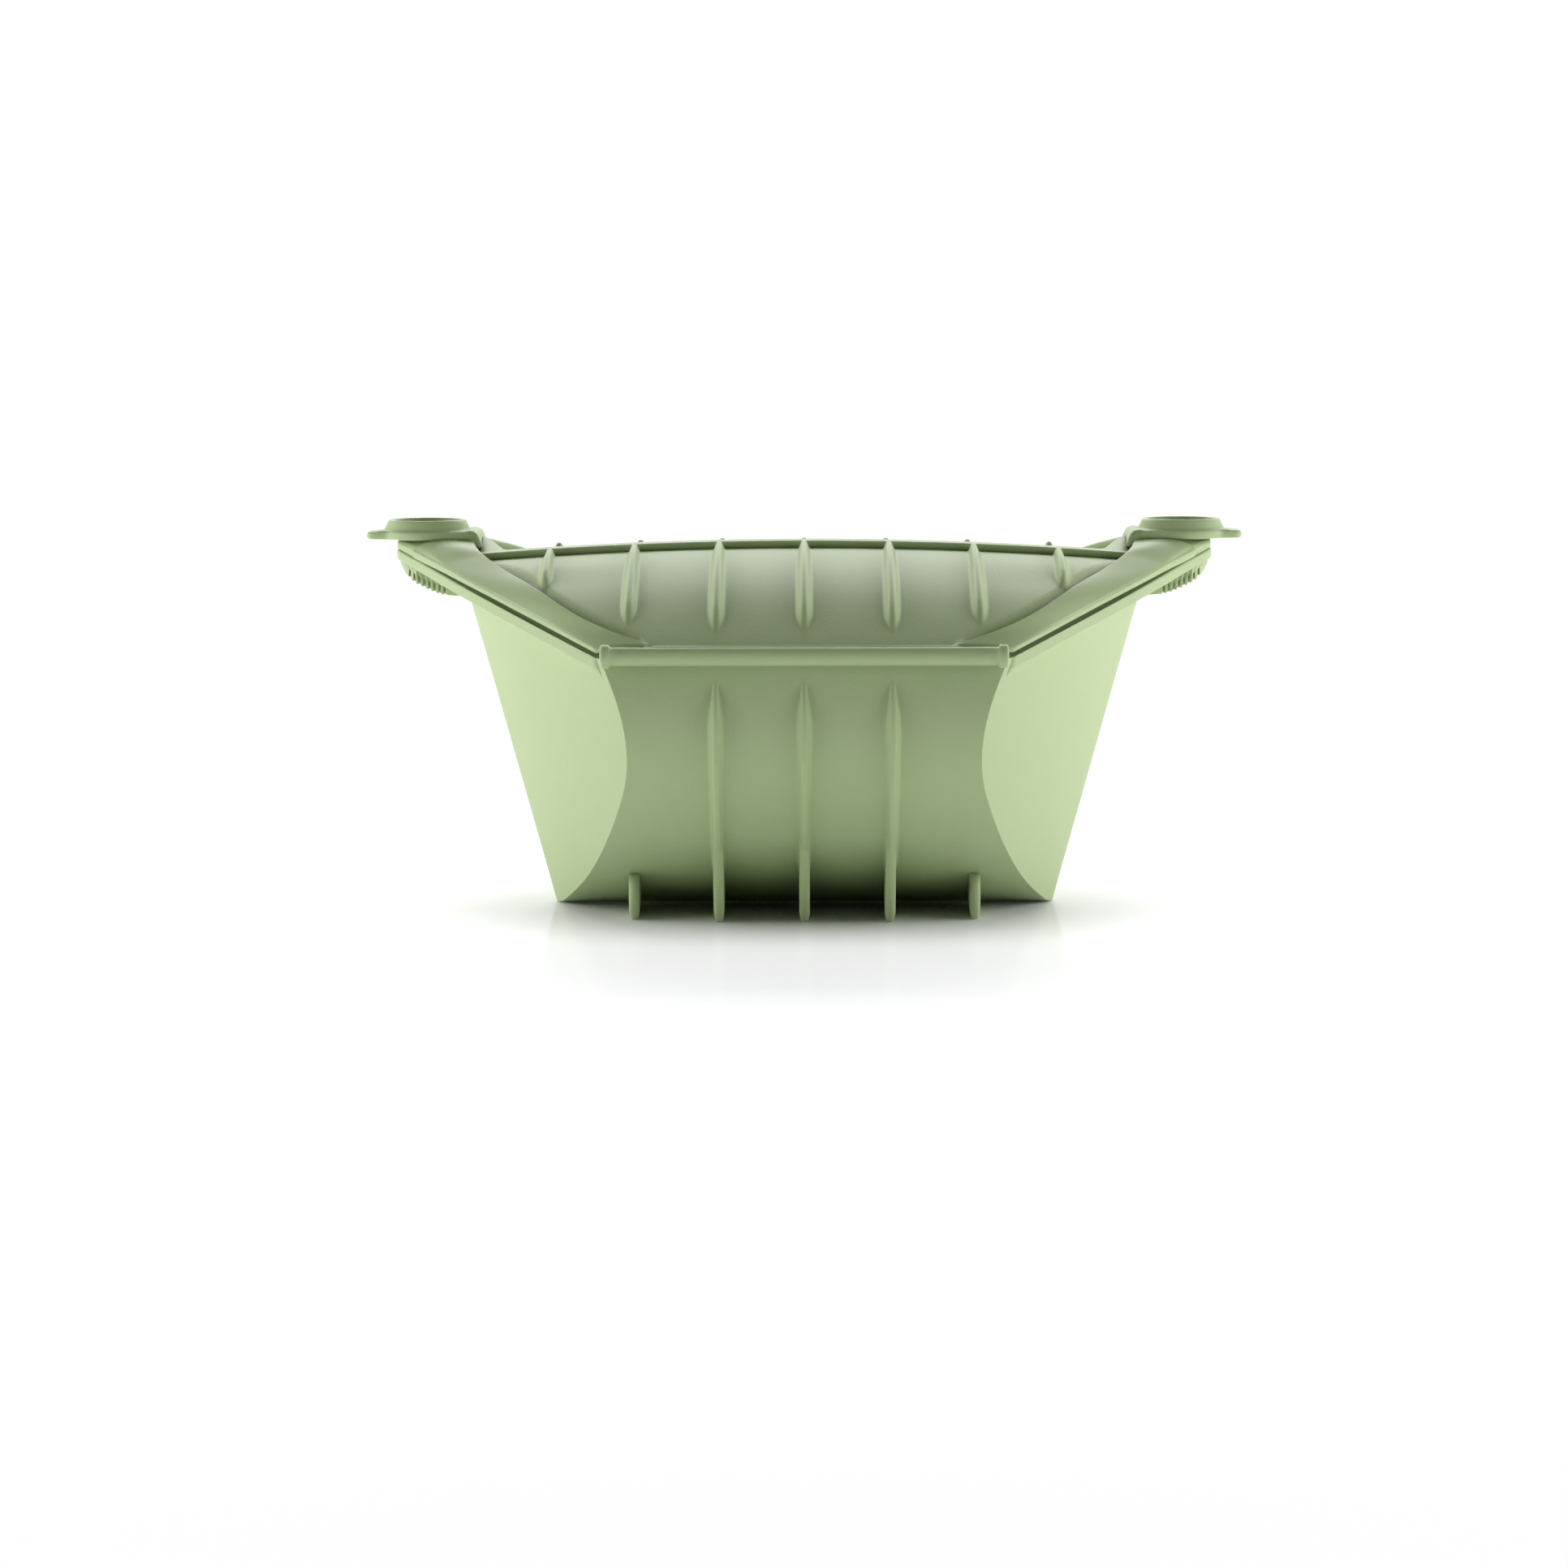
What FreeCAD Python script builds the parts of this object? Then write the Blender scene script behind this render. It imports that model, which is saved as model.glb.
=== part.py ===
"""Deep silicone steam case: a boat-shaped tub, two lid flaps that snap together at the ends, a draining tray.

Millimetres, +Z up. X runs along the hinges, Y across them. The front flap hinges at -Y and the rear flap,
which lies on top, at +Y. The origin is on the floor under the middle of the tub.
"""
import math
import os

import FreeCAD
import Part
from FreeCAD import Vector

# Walls and gaps
WALL = 2.2
GAP = 0.35
FAR = 150.0

# End walls: half length at the floor, how far they flare with height, how they taper and bow across
END_HALF = 76.9
END_FLARE = 0.277
END_TAPER = 0.30
END_BOW = 0.00128

# Belly: height of the keel, then the outside of one side wall as (distance from the middle, height)
KEEL_Z = 0.6
BELLY = [(15.0, 3.0), (38.5, 11.2), (61.3, 23.0), (81.7, 37.8), (93.8, 50.5), (98.6, 62.0), (98.9, 72.0)]
WALL_TOP = (96.4, 83.2)

# Hinges: round bars along both long sides
HINGE_Y = 100.0
HINGE_Z = 83.8
BAR_R = 2.7
COLLAR_R = 3.4
BAR_HALF = 58.8
COLLAR_LENGTH = 2.8

# Rim outline seen from above, from a hinge end to the tip of the nose (one quarter)
RIM = [(60.4, 94.3), (76.0, 75.5), (90.8, 57.0), (101.0, 43.0), (110.0, 28.5), (119.0, 13.5)]
TIP_X = 125.4
RIM_Z = 82.9
RIM_RISE = 0.4086
FLANGE = 3.2
GROOVE_FROM_X = 109.8
GROOVE_PITCH = 1.55
GROOVE_LONG = 4.0

# Lid flaps: shallow barrels, each given as (height of the crest, radius across, distance of the crest from the
# middle, flat arch along X, how much the arch tightens towards the hinge)
FRONT_BARREL = (111.1, 128.0, 22.0, 0.0004, 0.0002)
REAR_BARREL = (109.4, 168.0, 12.0, 0.00025, 0.0)
BACK_RADIUS = 168.0
ARCH_FROM_Y = 42.0
ARCH_OVER = 20.0
FREE_EDGE_Y = 14.0
LIP_Y = 27.0
LIP_HEIGHT = 2.25
MARGIN = 1.8
LIP_WIDTH = 3.5
MARGIN_HALF = 98.5
BAND_LIFT = 3.0

# Lid bands: outer edge and inner edge stations (x, distance from the middle), and the inner edge's height
BAND_OUTER = [(60.6, 94.3), (68.0, 85.4), (76.0, 75.5), (84.0, 65.6), (94.0, 52.8), (103.0, 40.0),
              (110.0, 28.5)]
BAND_INNER = [(44.0, 97.0), (59.4, 87.5), (70.8, 75.5), (79.3, 62.5), (91.0, 42.0), (98.5, 27.0),
              (101.0, 13.5)]
BAND_CREST = [86.9, 91.8, 96.8, 101.3, 106.3, 110.6, 112.7]

# Latches: a button on the front flap's tips, a plate with a ring and a pull tab on the rear flap's
LATCH_X = 116.0
TIP_Z = 112.4
PLATE_Z = 112.7
PLATE_TOP = 115.3
RING_TOP = 118.5
RING_BASE_R = 13.2
RING_TOP_R = 12.2
RING_HOLE_R = 10.4
BUTTON_R = 8.6
BUTTON_TOP = 117.0
PLATE_R = 14.3
PLATE_IN_X = 101.0
STEP_IN_X = 98.7
STEP_FOOT_Z = 108.4
STEP_HALF = 13.0
TAB_X = 134.4
TAB_HALF = 7.5

# Ribs
RIB_PITCH = 25.6
RIB_HALF = 1.9
RIB_PROUD = 2.3
WALL_RIB_PROUD = 2.8
FOOT_HALF = 1.6
FOOT_Y = 52.0
OUTER_FOOT_Y = 47.0

# Draining tray
TRAY_Z = 24.0
TRAY_RIM_Z = 34.0
TRAY_FLOOR = 2.0
TRAY_INSET = 1.0


def mirror_x(shape):
    return shape.mirror(Vector(0, 0, 0), Vector(1, 0, 0))


def mirror_y(shape):
    return shape.mirror(Vector(0, 0, 0), Vector(0, 1, 0))


def spline(points):
    """One smooth edge through the points."""
    curve = Part.BSplineCurve()
    curve.interpolate(points)
    return curve.toShape()


def polyline(points):
    return [Part.makeLine(a, b) for a, b in zip(points, points[1:])]


def prism(edges, start, direction):
    """Solid swept from a closed flat outline that starts at start, along direction."""
    wire = Part.Wire(Part.__sortEdges__(edges))
    face = Part.Face(wire)
    face.translate(start)
    return face.extrude(direction)


def box(x0, x1, y0, y1, z0, z1):
    return Part.makeBox(x1 - x0, y1 - y0, z1 - z0, Vector(x0, y0, z0))


# ---------------------------------------------------------------- tub

def offset_profile(curve, distance, count=40):
    """Points beside a planar YZ curve, towards the inside of the tub."""
    first, last = curve.FirstParameter, curve.LastParameter
    points = []
    for i in range(count + 1):
        at = first + (last - first) * i / count
        point = curve.value(at)
        tangent = curve.tangent(at)[0]
        points.append(Vector(0, point.y - tangent.z * distance, point.z + tangent.y * distance))
    return points


def belly_curve():
    """Outside of the tub across X: down the front wall, under the keel and up the rear wall."""
    side = [Vector(0, -y, z) for y, z in [WALL_TOP] + BELLY[::-1]]
    points = side + [Vector(0, 0, KEEL_Z)] + [Vector(0, -p.y, p.z) for p in side[::-1]]
    curve = Part.BSplineCurve()
    curve.interpolate(points)
    return curve


def rim_z(x):
    return RIM_Z + RIM_RISE * (x - RIM[0][0])


def rim_curve_points(lift=0.0):
    """Height of the rim against Y, from the front hinge to the rear hinge."""
    half = [Vector(0, -y, rim_z(x) + lift) for x, y in RIM]
    half[0] = Vector(0, -WALL_TOP[0], WALL_TOP[1] + lift)
    return half + [Vector(0, 0, rim_z(TIP_X) + lift)] + [Vector(0, -p.y, p.z) for p in half[::-1]]


def end_wedge(inset=0.0):
    """Block between the two bowed, flaring end walls, pulled in by inset."""
    slices = []
    for z in (-20.0, 140.0):
        half = END_HALF + END_FLARE * z - inset
        outline = []
        for side in (1, -1):
            for sign in (1, -1):
                ys = [0.0, 35.0, 70.0, 110.0]
                points = [Vector(side * (half - END_TAPER * y - END_BOW * y * y), sign * y, z) for y in ys]
                outline.append(spline(points))
        ends = [outline[0].Vertexes[-1].Point, outline[2].Vertexes[-1].Point]
        outline.append(Part.makeLine(*ends))
        ends = [outline[1].Vertexes[-1].Point, outline[3].Vertexes[-1].Point]
        outline.append(Part.makeLine(*ends))
        slices.append(Part.Wire(Part.__sortEdges__(outline)))
    return Part.makeLoft(slices, True, True)


def tub_block():
    """The tub as if it were solid, up to the rim."""
    belly = belly_curve().toShape()
    rim = spline(rim_curve_points())
    return prism([belly, rim], Vector(-FAR, 0, 0), Vector(2 * FAR, 0, 0)).common(end_wedge())


def tub_cavity(inset=WALL):
    """The room inside the tub, open at the top."""
    inner = offset_profile(belly_curve(), inset)
    start, end = inner[0], inner[-1]
    top = [start, Vector(0, start.y, 140), Vector(0, end.y, 140), end]
    block = prism([spline(inner[::2])] + polyline(top), Vector(-FAR, 0, 0), Vector(2 * FAR, 0, 0))
    return block.common(end_wedge(inset * 1.12))


def rim_outline(grow=0.0):
    """Plan of the whole rim with both noses, closed along the hinges."""
    edges = []
    for side in (1, -1):
        quarter = [Vector(side * (x + grow), -y, 0) for x, y in RIM]
        tip = [Vector(side * (TIP_X + grow), 0, 0)]
        edges.append(spline(quarter + tip + [Vector(p.x, -p.y, 0) for p in quarter[::-1]]))
    for y in (-RIM[0][1], RIM[0][1]):
        reach = RIM[0][0] + grow
        edges.append(Part.makeLine(Vector(-reach, y, 0), Vector(reach, y, 0)))
    return edges


def rim_slab(low, high):
    """Everything between two heights measured from the rim."""
    bottom = rim_curve_points(low)
    top = rim_curve_points(high)
    sides = [Part.makeLine(bottom[0], top[0]), Part.makeLine(bottom[-1], top[-1])]
    edges = [spline(bottom), spline(top)] + sides
    return prism(edges, Vector(-FAR, 0, 0), Vector(2 * FAR, 0, 0))


def end_flange(block):
    """Flat seat that runs round the nose from one hinge to the other, on the right-hand end."""
    plan = prism(rim_outline(), Vector(0, 0, 0), Vector(0, 0, FAR))
    ring = plan.common(rim_slab(-FLANGE, 0.0)).common(box(50, FAR, -FAR, FAR, 0, FAR))
    return ring.cut(block)


def grip_pad(block):
    """Thick nose under the flange, with finger grooves across its underside."""
    under = [Vector(100, 0, 97), Vector(106, 0, 95.8), Vector(111, 0, 96.2), Vector(121, 0, 101.2),
             Vector(123.6, 0, 104.8), Vector(125.1, 0, 112), Vector(100, 0, 112)]
    half = 15.0
    pad = prism(polyline(under + under[:1]), Vector(0, -half, 0), Vector(0, 2 * half, 0))
    plan = prism(rim_outline(-0.3), Vector(0, 0, 0), Vector(0, 0, FAR))
    pad = pad.common(plan).cut(rim_slab(-FLANGE, 40)).cut(block)
    for i in range(8):
        x = GROOVE_FROM_X + GROOVE_PITCH * i
        z = 96.3 + (x - 111) * 0.56
        groove = box(x - 0.4, x + 0.4, -half - 1, -half + GROOVE_LONG, z - 2.0, z + 2.2)
        pad = pad.cut(groove).cut(mirror_y(groove))
    return pad


def hinge_bar(block):
    """Round bar along the front, with an end collar at each side, on a web that joins it to the wall."""
    y = -HINGE_Y
    bar = Part.makeCylinder(BAR_R, 2 * BAR_HALF, Vector(-BAR_HALF, y, HINGE_Z), Vector(1, 0, 0))
    for x in (-BAR_HALF, BAR_HALF - COLLAR_LENGTH):
        bar = bar.fuse(Part.makeCylinder(COLLAR_R, COLLAR_LENGTH, Vector(x, y, HINGE_Z), Vector(1, 0, 0)))
    web = box(-BAR_HALF, BAR_HALF, y, -95.5, HINGE_Z - 2.6, HINGE_Z - 0.6)
    return bar.fuse(web).cut(block).removeSplitter()


def fin(x, half, outline):
    """Upright fin in the YZ plane, centred at x."""
    points = [Vector(0, y, z) for y, z in outline]
    return prism(polyline(points + points[:1]), Vector(x - half, 0, 0), Vector(2 * half, 0, 0))


def wall_rib(x, block):
    """Slim rib that follows the front wall from under the hinge down to the foot."""
    curve = belly_curve()
    outer = offset_profile(curve, -WALL_RIB_PROUD, 60)
    outer = [p for p in outer if p.y < 0 and 21.5 < p.z < 74.0]
    inner = offset_profile(curve, 1.0, 60)
    inner = [p for p in inner if p.y < 0 and 21.5 < p.z < 76.0]
    sides = [Part.makeLine(outer[0], inner[0]), Part.makeLine(outer[-1], inner[-1])]
    edges = [spline(outer), spline(inner)] + sides
    return prism(edges, Vector(x - RIB_HALF, 0, 0), Vector(2 * RIB_HALF, 0, 0)).cut(block)


def foot(x, front_y, block):
    """Fin under the belly that the case stands on, front half."""
    top = front_y + 17.0
    outline = [(-10.0, 0.0), (-front_y, 0.0), (-front_y - 4.0, 2.5), (-top + 6.0, 12.0), (-top + 2.5, 21.0)]
    outline = outline + [(-top + 8.0, 24.0), (-10.0, 6.0)]
    return fin(x, FOOT_HALF, outline).cut(block)


# ---------------------------------------------------------------- lid flaps

def lid_z(y, x, barrel):
    """Top of a flap's barrel at distance y from the middle, towards the hinge when y is negative."""
    top, radius, crest, arch, tighter = barrel
    across = y + crest
    if across > 0:
        radius = BACK_RADIUS
    low = min(1.0, max(0.0, (abs(y) - ARCH_FROM_Y) / ARCH_OVER))
    drop = radius - math.sqrt(radius * radius - across * across)
    return top - drop - (arch + tighter * low) * x * x


def lid_slab(low, high, y0, y1, barrel):
    """Barrel-shaped slab between two heights measured from the top of a flap."""
    sections = []
    for x in (-110.0, -55.0, 0.0, 55.0, 110.0):
        steps = [y0 + (y1 - y0) * i / 8 for i in range(9)]
        top = [Vector(x, y, lid_z(y, x, barrel) + high) for y in steps]
        bottom = [Vector(x, y, lid_z(y, x, barrel) + low) for y in steps]
        sides = [Part.makeLine(bottom[0], top[0]), Part.makeLine(bottom[-1], top[-1])]
        edges = [spline(top), spline(bottom)] + sides
        sections.append(Part.Wire(Part.__sortEdges__(edges)))
    return Part.makeLoft(sections, True, False)


def hinge_clearance():
    y = -HINGE_Y
    room = Part.makeCylinder(BAR_R + GAP, 140, Vector(-70, y, HINGE_Z), Vector(1, 0, 0))
    collar = Part.makeCylinder(COLLAR_R + GAP, 4.6, Vector(-59.6, y, HINGE_Z), Vector(1, 0, 0))
    return room.fuse(collar).fuse(mirror_x(collar))


def panel_plan(edge_y):
    """Plan of a flap's panel: hinge side, the two curved inner edges of the bands, and the free edge."""
    right = [Vector(x, -y, 0) for x, y in BAND_INNER[:-1]]
    left = [Vector(-p.x, p.y, 0) for p in right]
    hinge = [Vector(-44, -97, 0), Vector(-40, -99, 0), Vector(40, -99, 0), Vector(44, -97, 0)]
    edges = [spline(right), spline(left)] + polyline(hinge)
    rest = [right[-1], Vector(MARGIN_HALF, edge_y, 0), Vector(-MARGIN_HALF, edge_y, 0), left[-1]]
    return edges + polyline(rest)


def flap_panel(edge_y, barrel, block):
    """Panel of one flap from its hinge to its free edge, clear of the tub's top edge and the hinge bar."""
    plan = prism(panel_plan(edge_y), Vector(0, 0, 0), Vector(0, 0, FAR))
    panel = lid_slab(-WALL, 0.0, -99.5, edge_y + 2, barrel).common(plan)
    panel = panel.cut(hinge_clearance()).cut(block.translated(Vector(0, 0, GAP)))
    panel = panel.cut(block)
    return max(panel.Solids, key=lambda solid: solid.Volume)


def flap_ribs(top_y, barrel):
    """Seven rounded ribs on one flap's panel, shorter towards the ends."""
    ribs = []
    for k in range(-3, 4):
        low_y = (-91.0, -91.0, -85.5, -60.0)[abs(k)]
        x = k * RIB_PITCH
        steps = [low_y + (top_y - low_y) * i / 8 for i in range(9)]
        ends = [0.1, RIB_PROUD * 0.8] + [RIB_PROUD] * 6 + [RIB_PROUD]
        top = [Vector(0, y, lid_z(y, x, barrel) + h) for y, h in zip(steps, ends)]
        bottom = [Vector(0, y, lid_z(y, x, barrel) - 1.0) for y in steps]
        sides = [Part.makeLine(bottom[0], top[0]), Part.makeLine(bottom[-1], top[-1])]
        ribs.append(prism([spline(top), spline(bottom)] + sides, Vector(x - RIB_HALF, 0, 0),
                          Vector(2 * RIB_HALF, 0, 0)))
    return ribs


def flap_band():
    """Band along the flap's slanting edge, from the hinge to the tip, on the right-hand end."""
    sections = []
    for (xo, yo), (xi, yi), crest in zip(BAND_OUTER, BAND_INNER, BAND_CREST):
        edge = rim_z(xo) + BAND_LIFT
        corners = [Vector(xo, -yo, edge), Vector(xi, -yi, crest), Vector(xi, -yi, crest - WALL),
                   Vector(xo, -yo, edge - WALL + 0.2)]
        sections.append(Part.makePolygon(corners + corners[:1]))
    tip = [Vector(119.6, -13.5, 109.9), Vector(112.0, -13.5, 112.6), Vector(112.0, -13.5, STEP_FOOT_Z),
           Vector(119.6, -13.5, STEP_FOOT_Z)]
    sections.append(Part.makePolygon(tip + tip[:1]))
    return Part.makeLoft(sections, True, True)


def tip_platform():
    """Flat tip of the front flap under the rear flap's latch plate, on the right-hand end."""
    plan = prism(rim_outline(), Vector(0, 0, 0), Vector(0, 0, FAR))
    pad = plan.common(box(PLATE_IN_X, FAR, -13.4, 12.2, 90, TIP_Z))
    return pad.common(rim_slab(1.0, 40.0))


def latch_button():
    """Snap button that fills the ring."""
    shaft = Part.makeCylinder(BUTTON_R, BUTTON_TOP - TIP_Z, Vector(LATCH_X, 0, TIP_Z))
    rounded = [e for e in shaft.Edges if abs(e.BoundBox.ZMin - BUTTON_TOP) < 0.01 and e.BoundBox.XLength > 1]
    return shaft.makeFillet(1.4, rounded)


def latch_hole():
    return Part.makeCylinder(RING_HOLE_R, 20, Vector(LATCH_X, 0, 105))


def latch_plate():
    """Plate round the ring, squared off inboard where it steps down to the lid."""
    disc = Part.makeCylinder(PLATE_R, PLATE_TOP - PLATE_Z, Vector(LATCH_X, 0, PLATE_Z))
    tongue = box(PLATE_IN_X, LATCH_X, -PLATE_R, PLATE_R, PLATE_Z, PLATE_TOP)
    return disc.fuse(tongue).removeSplitter().cut(latch_hole())


def latch_ring():
    cone = Part.makeCone(RING_BASE_R, RING_TOP_R, RING_TOP - PLATE_TOP, Vector(LATCH_X, 0, PLATE_TOP))
    return cone.cut(latch_hole())


def pull_tab():
    """Rounded tab that sticks out past the ring, for the fingers."""
    end = TAB_X - TAB_HALF
    tab = box(120, end, -TAB_HALF, TAB_HALF, PLATE_Z, PLATE_TOP - 0.4)
    nose = Part.makeCylinder(TAB_HALF, PLATE_TOP - 0.4 - PLATE_Z, Vector(end, 0, PLATE_Z))
    disc = Part.makeCylinder(PLATE_R, 20, Vector(LATCH_X, 0, 105))
    return tab.fuse(nose).removeSplitter().cut(disc)


def latch_step():
    """Wall that drops from the latch plate to the rear flap's margin."""
    return box(STEP_IN_X, PLATE_IN_X, -STEP_HALF, STEP_HALF + 0.4, STEP_FOOT_Z, PLATE_TOP)


def flap_margin(block):
    """Part of the rear flap that overlaps the front flap."""
    slab = lid_slab(GAP, GAP + MARGIN, -LIP_Y + LIP_WIDTH, FREE_EDGE_Y + 0.9, FRONT_BARREL)
    margin = slab.common(box(-MARGIN_HALF, MARGIN_HALF, -FAR, FAR, 0, FAR))
    margin = margin.cut(block.translated(Vector(0, 0, GAP)))
    return max(margin.Solids, key=lambda solid: solid.Volume)


def flap_lip():
    """Thick front edge of the rear flap."""
    slab = lid_slab(GAP, LIP_HEIGHT, -LIP_Y, -LIP_Y + LIP_WIDTH, FRONT_BARREL)
    return slab.common(box(-MARGIN_HALF, MARGIN_HALF, -FAR, FAR, 0, FAR))


# ---------------------------------------------------------------- tray

def tray():
    """Shallow tray that follows the tub, with draining slots and four short legs."""
    shell = tub_cavity(WALL + TRAY_INSET).common(box(-FAR, FAR, -FAR, FAR, TRAY_Z, TRAY_RIM_Z))
    room = tub_cavity(WALL + TRAY_INSET + TRAY_FLOOR)
    body = shell.cut(room.common(box(-FAR, FAR, -FAR, FAR, TRAY_Z + TRAY_FLOOR, FAR)))
    for row in range(-2, 3):
        for column in range(-3, 4):
            x = column * 15.0
            y = row * 16.0
            slot = box(x - 4.5, x + 4.5, y - 1.75, y + 1.75, TRAY_Z - 1, TRAY_Z + TRAY_FLOOR + 1)
            body = body.cut(slot)
    room = tub_cavity(WALL + 0.4)
    for x in (-52.5, 52.5):
        for y in (-24, 24):
            leg = Part.makeCylinder(3.0, TRAY_Z, Vector(x, y, 0)).common(room)
            body = body.fuse(leg)
    return body.removeSplitter()


def save(name, shapes):
    solids = []
    for shape in shapes if isinstance(shapes, list) else [shapes]:
        solids.extend(shape.Solids)
    result = solids[0] if len(solids) == 1 else Part.makeCompound(solids)
    assert result.isValid(), name
    result.exportStep("parts/" + name + ".step")
    print(f"{name:24s} {len(solids)} solids {result.Volume / 1000:8.2f} cm3")


def main():
    os.makedirs("parts", exist_ok=True)
    block = tub_block()
    save("tub_shell", block.cut(tub_cavity()))

    flange = end_flange(block)
    pad = grip_pad(block)
    save("right_end_flange", flange)
    save("left_end_flange", mirror_x(flange))
    save("right_grip_pad", pad)
    save("left_grip_pad", mirror_x(pad))

    bar = hinge_bar(block)
    save("front_hinge_bar", bar)
    save("rear_hinge_bar", mirror_y(bar))

    ribs = []
    for k in range(-2, 3):
        front_y = OUTER_FOOT_Y if abs(k) == 2 else FOOT_Y
        leg = foot(k * RIB_PITCH, front_y, block)
        if abs(k) < 2:
            ribs.append(wall_rib(k * RIB_PITCH, block).cut(leg))
        save(f"front_foot_{k + 3}", leg)
        save(f"rear_foot_{k + 3}", mirror_y(leg))
    save("front_wall_ribs", ribs)
    save("rear_wall_ribs", [mirror_y(rib) for rib in ribs])

    panel = flap_panel(FREE_EDGE_Y, FRONT_BARREL, block)
    band = flap_band().cut(panel).cut(hinge_clearance())
    platform = tip_platform().cut(band)
    button = latch_button()
    ribs = [rib.cut(panel) for rib in flap_ribs(-LIP_Y - GAP, FRONT_BARREL)]
    save("front_flap_panel", panel)
    save("front_flap_ribs", ribs)
    save("right_front_band", band)
    save("left_front_band", mirror_x(band))
    save("right_front_tip", platform)
    save("left_front_tip", mirror_x(platform))
    save("right_latch_button", button)
    save("left_latch_button", mirror_x(button))

    panel = mirror_y(flap_panel(-FREE_EDGE_Y - 1.0, REAR_BARREL, block))
    ribs = [mirror_y(rib).cut(panel) for rib in flap_ribs(-FREE_EDGE_Y - 9, REAR_BARREL)]
    save("rear_flap_panel", panel)
    save("rear_flap_ribs", ribs)
    rear_band = mirror_y(flap_band()).cut(panel).cut(mirror_y(hinge_clearance()))
    save("right_rear_band", rear_band)
    save("left_rear_band", mirror_x(rear_band))
    save("rear_flap_margin", flap_margin(block))
    save("rear_flap_lip", flap_lip())
    latch = {"latch_plate": latch_plate(), "latch_ring": latch_ring(), "pull_tab": pull_tab(),
             "latch_step": latch_step()}
    for name, piece in latch.items():
        save("right_" + name, piece)
        save("left_" + name, mirror_x(piece))

    save("drain_tray", tray())


main()
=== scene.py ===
import math

import bmesh
import bpy
import numpy as np
from mathutils import Euler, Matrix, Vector


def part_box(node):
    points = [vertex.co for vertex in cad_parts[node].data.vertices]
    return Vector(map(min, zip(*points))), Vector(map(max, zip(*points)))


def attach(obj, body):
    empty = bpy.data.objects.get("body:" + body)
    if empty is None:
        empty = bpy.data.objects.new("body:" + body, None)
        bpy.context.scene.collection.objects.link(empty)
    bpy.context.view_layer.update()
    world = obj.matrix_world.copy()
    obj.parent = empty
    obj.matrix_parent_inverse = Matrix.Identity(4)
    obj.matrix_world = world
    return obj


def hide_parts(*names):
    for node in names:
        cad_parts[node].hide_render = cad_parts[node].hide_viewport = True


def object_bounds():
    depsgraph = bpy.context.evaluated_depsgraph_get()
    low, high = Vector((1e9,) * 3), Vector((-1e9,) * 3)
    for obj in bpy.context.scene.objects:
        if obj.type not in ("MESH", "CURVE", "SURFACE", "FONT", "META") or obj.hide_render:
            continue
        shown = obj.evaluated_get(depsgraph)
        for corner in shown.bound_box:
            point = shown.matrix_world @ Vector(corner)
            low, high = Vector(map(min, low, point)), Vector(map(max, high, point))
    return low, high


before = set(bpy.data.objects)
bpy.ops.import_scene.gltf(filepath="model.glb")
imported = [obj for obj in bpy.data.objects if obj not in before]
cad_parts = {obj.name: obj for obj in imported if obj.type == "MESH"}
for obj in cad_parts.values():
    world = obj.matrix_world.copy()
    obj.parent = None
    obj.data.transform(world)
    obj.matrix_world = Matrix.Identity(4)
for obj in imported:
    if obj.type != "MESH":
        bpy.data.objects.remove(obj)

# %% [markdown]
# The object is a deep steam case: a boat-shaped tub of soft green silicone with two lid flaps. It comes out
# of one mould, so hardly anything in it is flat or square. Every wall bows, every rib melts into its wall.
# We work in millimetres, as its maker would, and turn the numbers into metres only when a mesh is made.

CAD_BOX = [list(corner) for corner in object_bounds()]
MM = 0.001


def box_mm(node):
    """Lowest and highest corner of a node of the frame, in millimetres."""
    low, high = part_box(node)
    return np.array(low) / MM, np.array(high) / MM


print("case measures", [round((b - a) / MM, 1) for a, b in zip(*CAD_BOX)], "mm")

# %% [markdown]
# Smooth outlines come first. A maker's drawing gives only a few points, and a spline finds the rest. A
# spline could be a Blender curve object, but here we need to ask it for heights and widths, so a small
# natural cubic spline in NumPy is handier.

# %% A smooth curve through a few points
def curve_through(points, count):
    """Points along one smooth curve through a few given points."""
    p = np.array(points, float)
    t = np.concatenate([[0.0], np.cumsum(np.linalg.norm(np.diff(p, axis=0), axis=1))])
    n = len(p)
    a = np.zeros((n, n))
    rhs = np.zeros_like(p)
    a[0, 0] = a[-1, -1] = 1.0
    for i in range(1, n - 1):
        before = t[i] - t[i - 1]
        after = t[i + 1] - t[i]
        a[i, i - 1], a[i, i], a[i, i + 1] = before, 2 * (before + after), after
        rhs[i] = 6 * ((p[i + 1] - p[i]) / after - (p[i] - p[i - 1]) / before)
    m = np.linalg.solve(a, rhs)
    s = np.linspace(0.0, t[-1], count)
    k = np.clip(np.searchsorted(t, s, "right") - 1, 0, n - 2)
    h = (t[k + 1] - t[k])[:, None]
    u = (s - t[k])[:, None]
    v = (t[k + 1] - s)[:, None]
    bent = (m[k] * v**3 + m[k + 1] * u**3) / (6 * h)
    return bent + (p[k] / h - m[k] * h / 6) * v + (p[k + 1] / h - m[k + 1] * h / 6) * u


print("a curve through 3 points, at its middle:", curve_through([(0, 0), (1, 1), (2, 0)], 3)[1].round(3))

# %% [markdown]
# A moulded part has no sudden steps. Wherever one shape fades into another we use the same soft S, which
# leaves both sides level. A straight ramp would leave a crease that shows as a line in the light.

# %% A soft step
def ease(value, start, end):
    """0 at start, 1 at end, with a soft S between them."""
    t = np.clip((np.asarray(value, float) - start) / (end - start), 0.0, 1.0)
    return t * t * (3 - 2 * t)


print("soft step at a quarter of the way:", round(float(ease(0.25, 0.0, 1.0)), 3))

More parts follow.
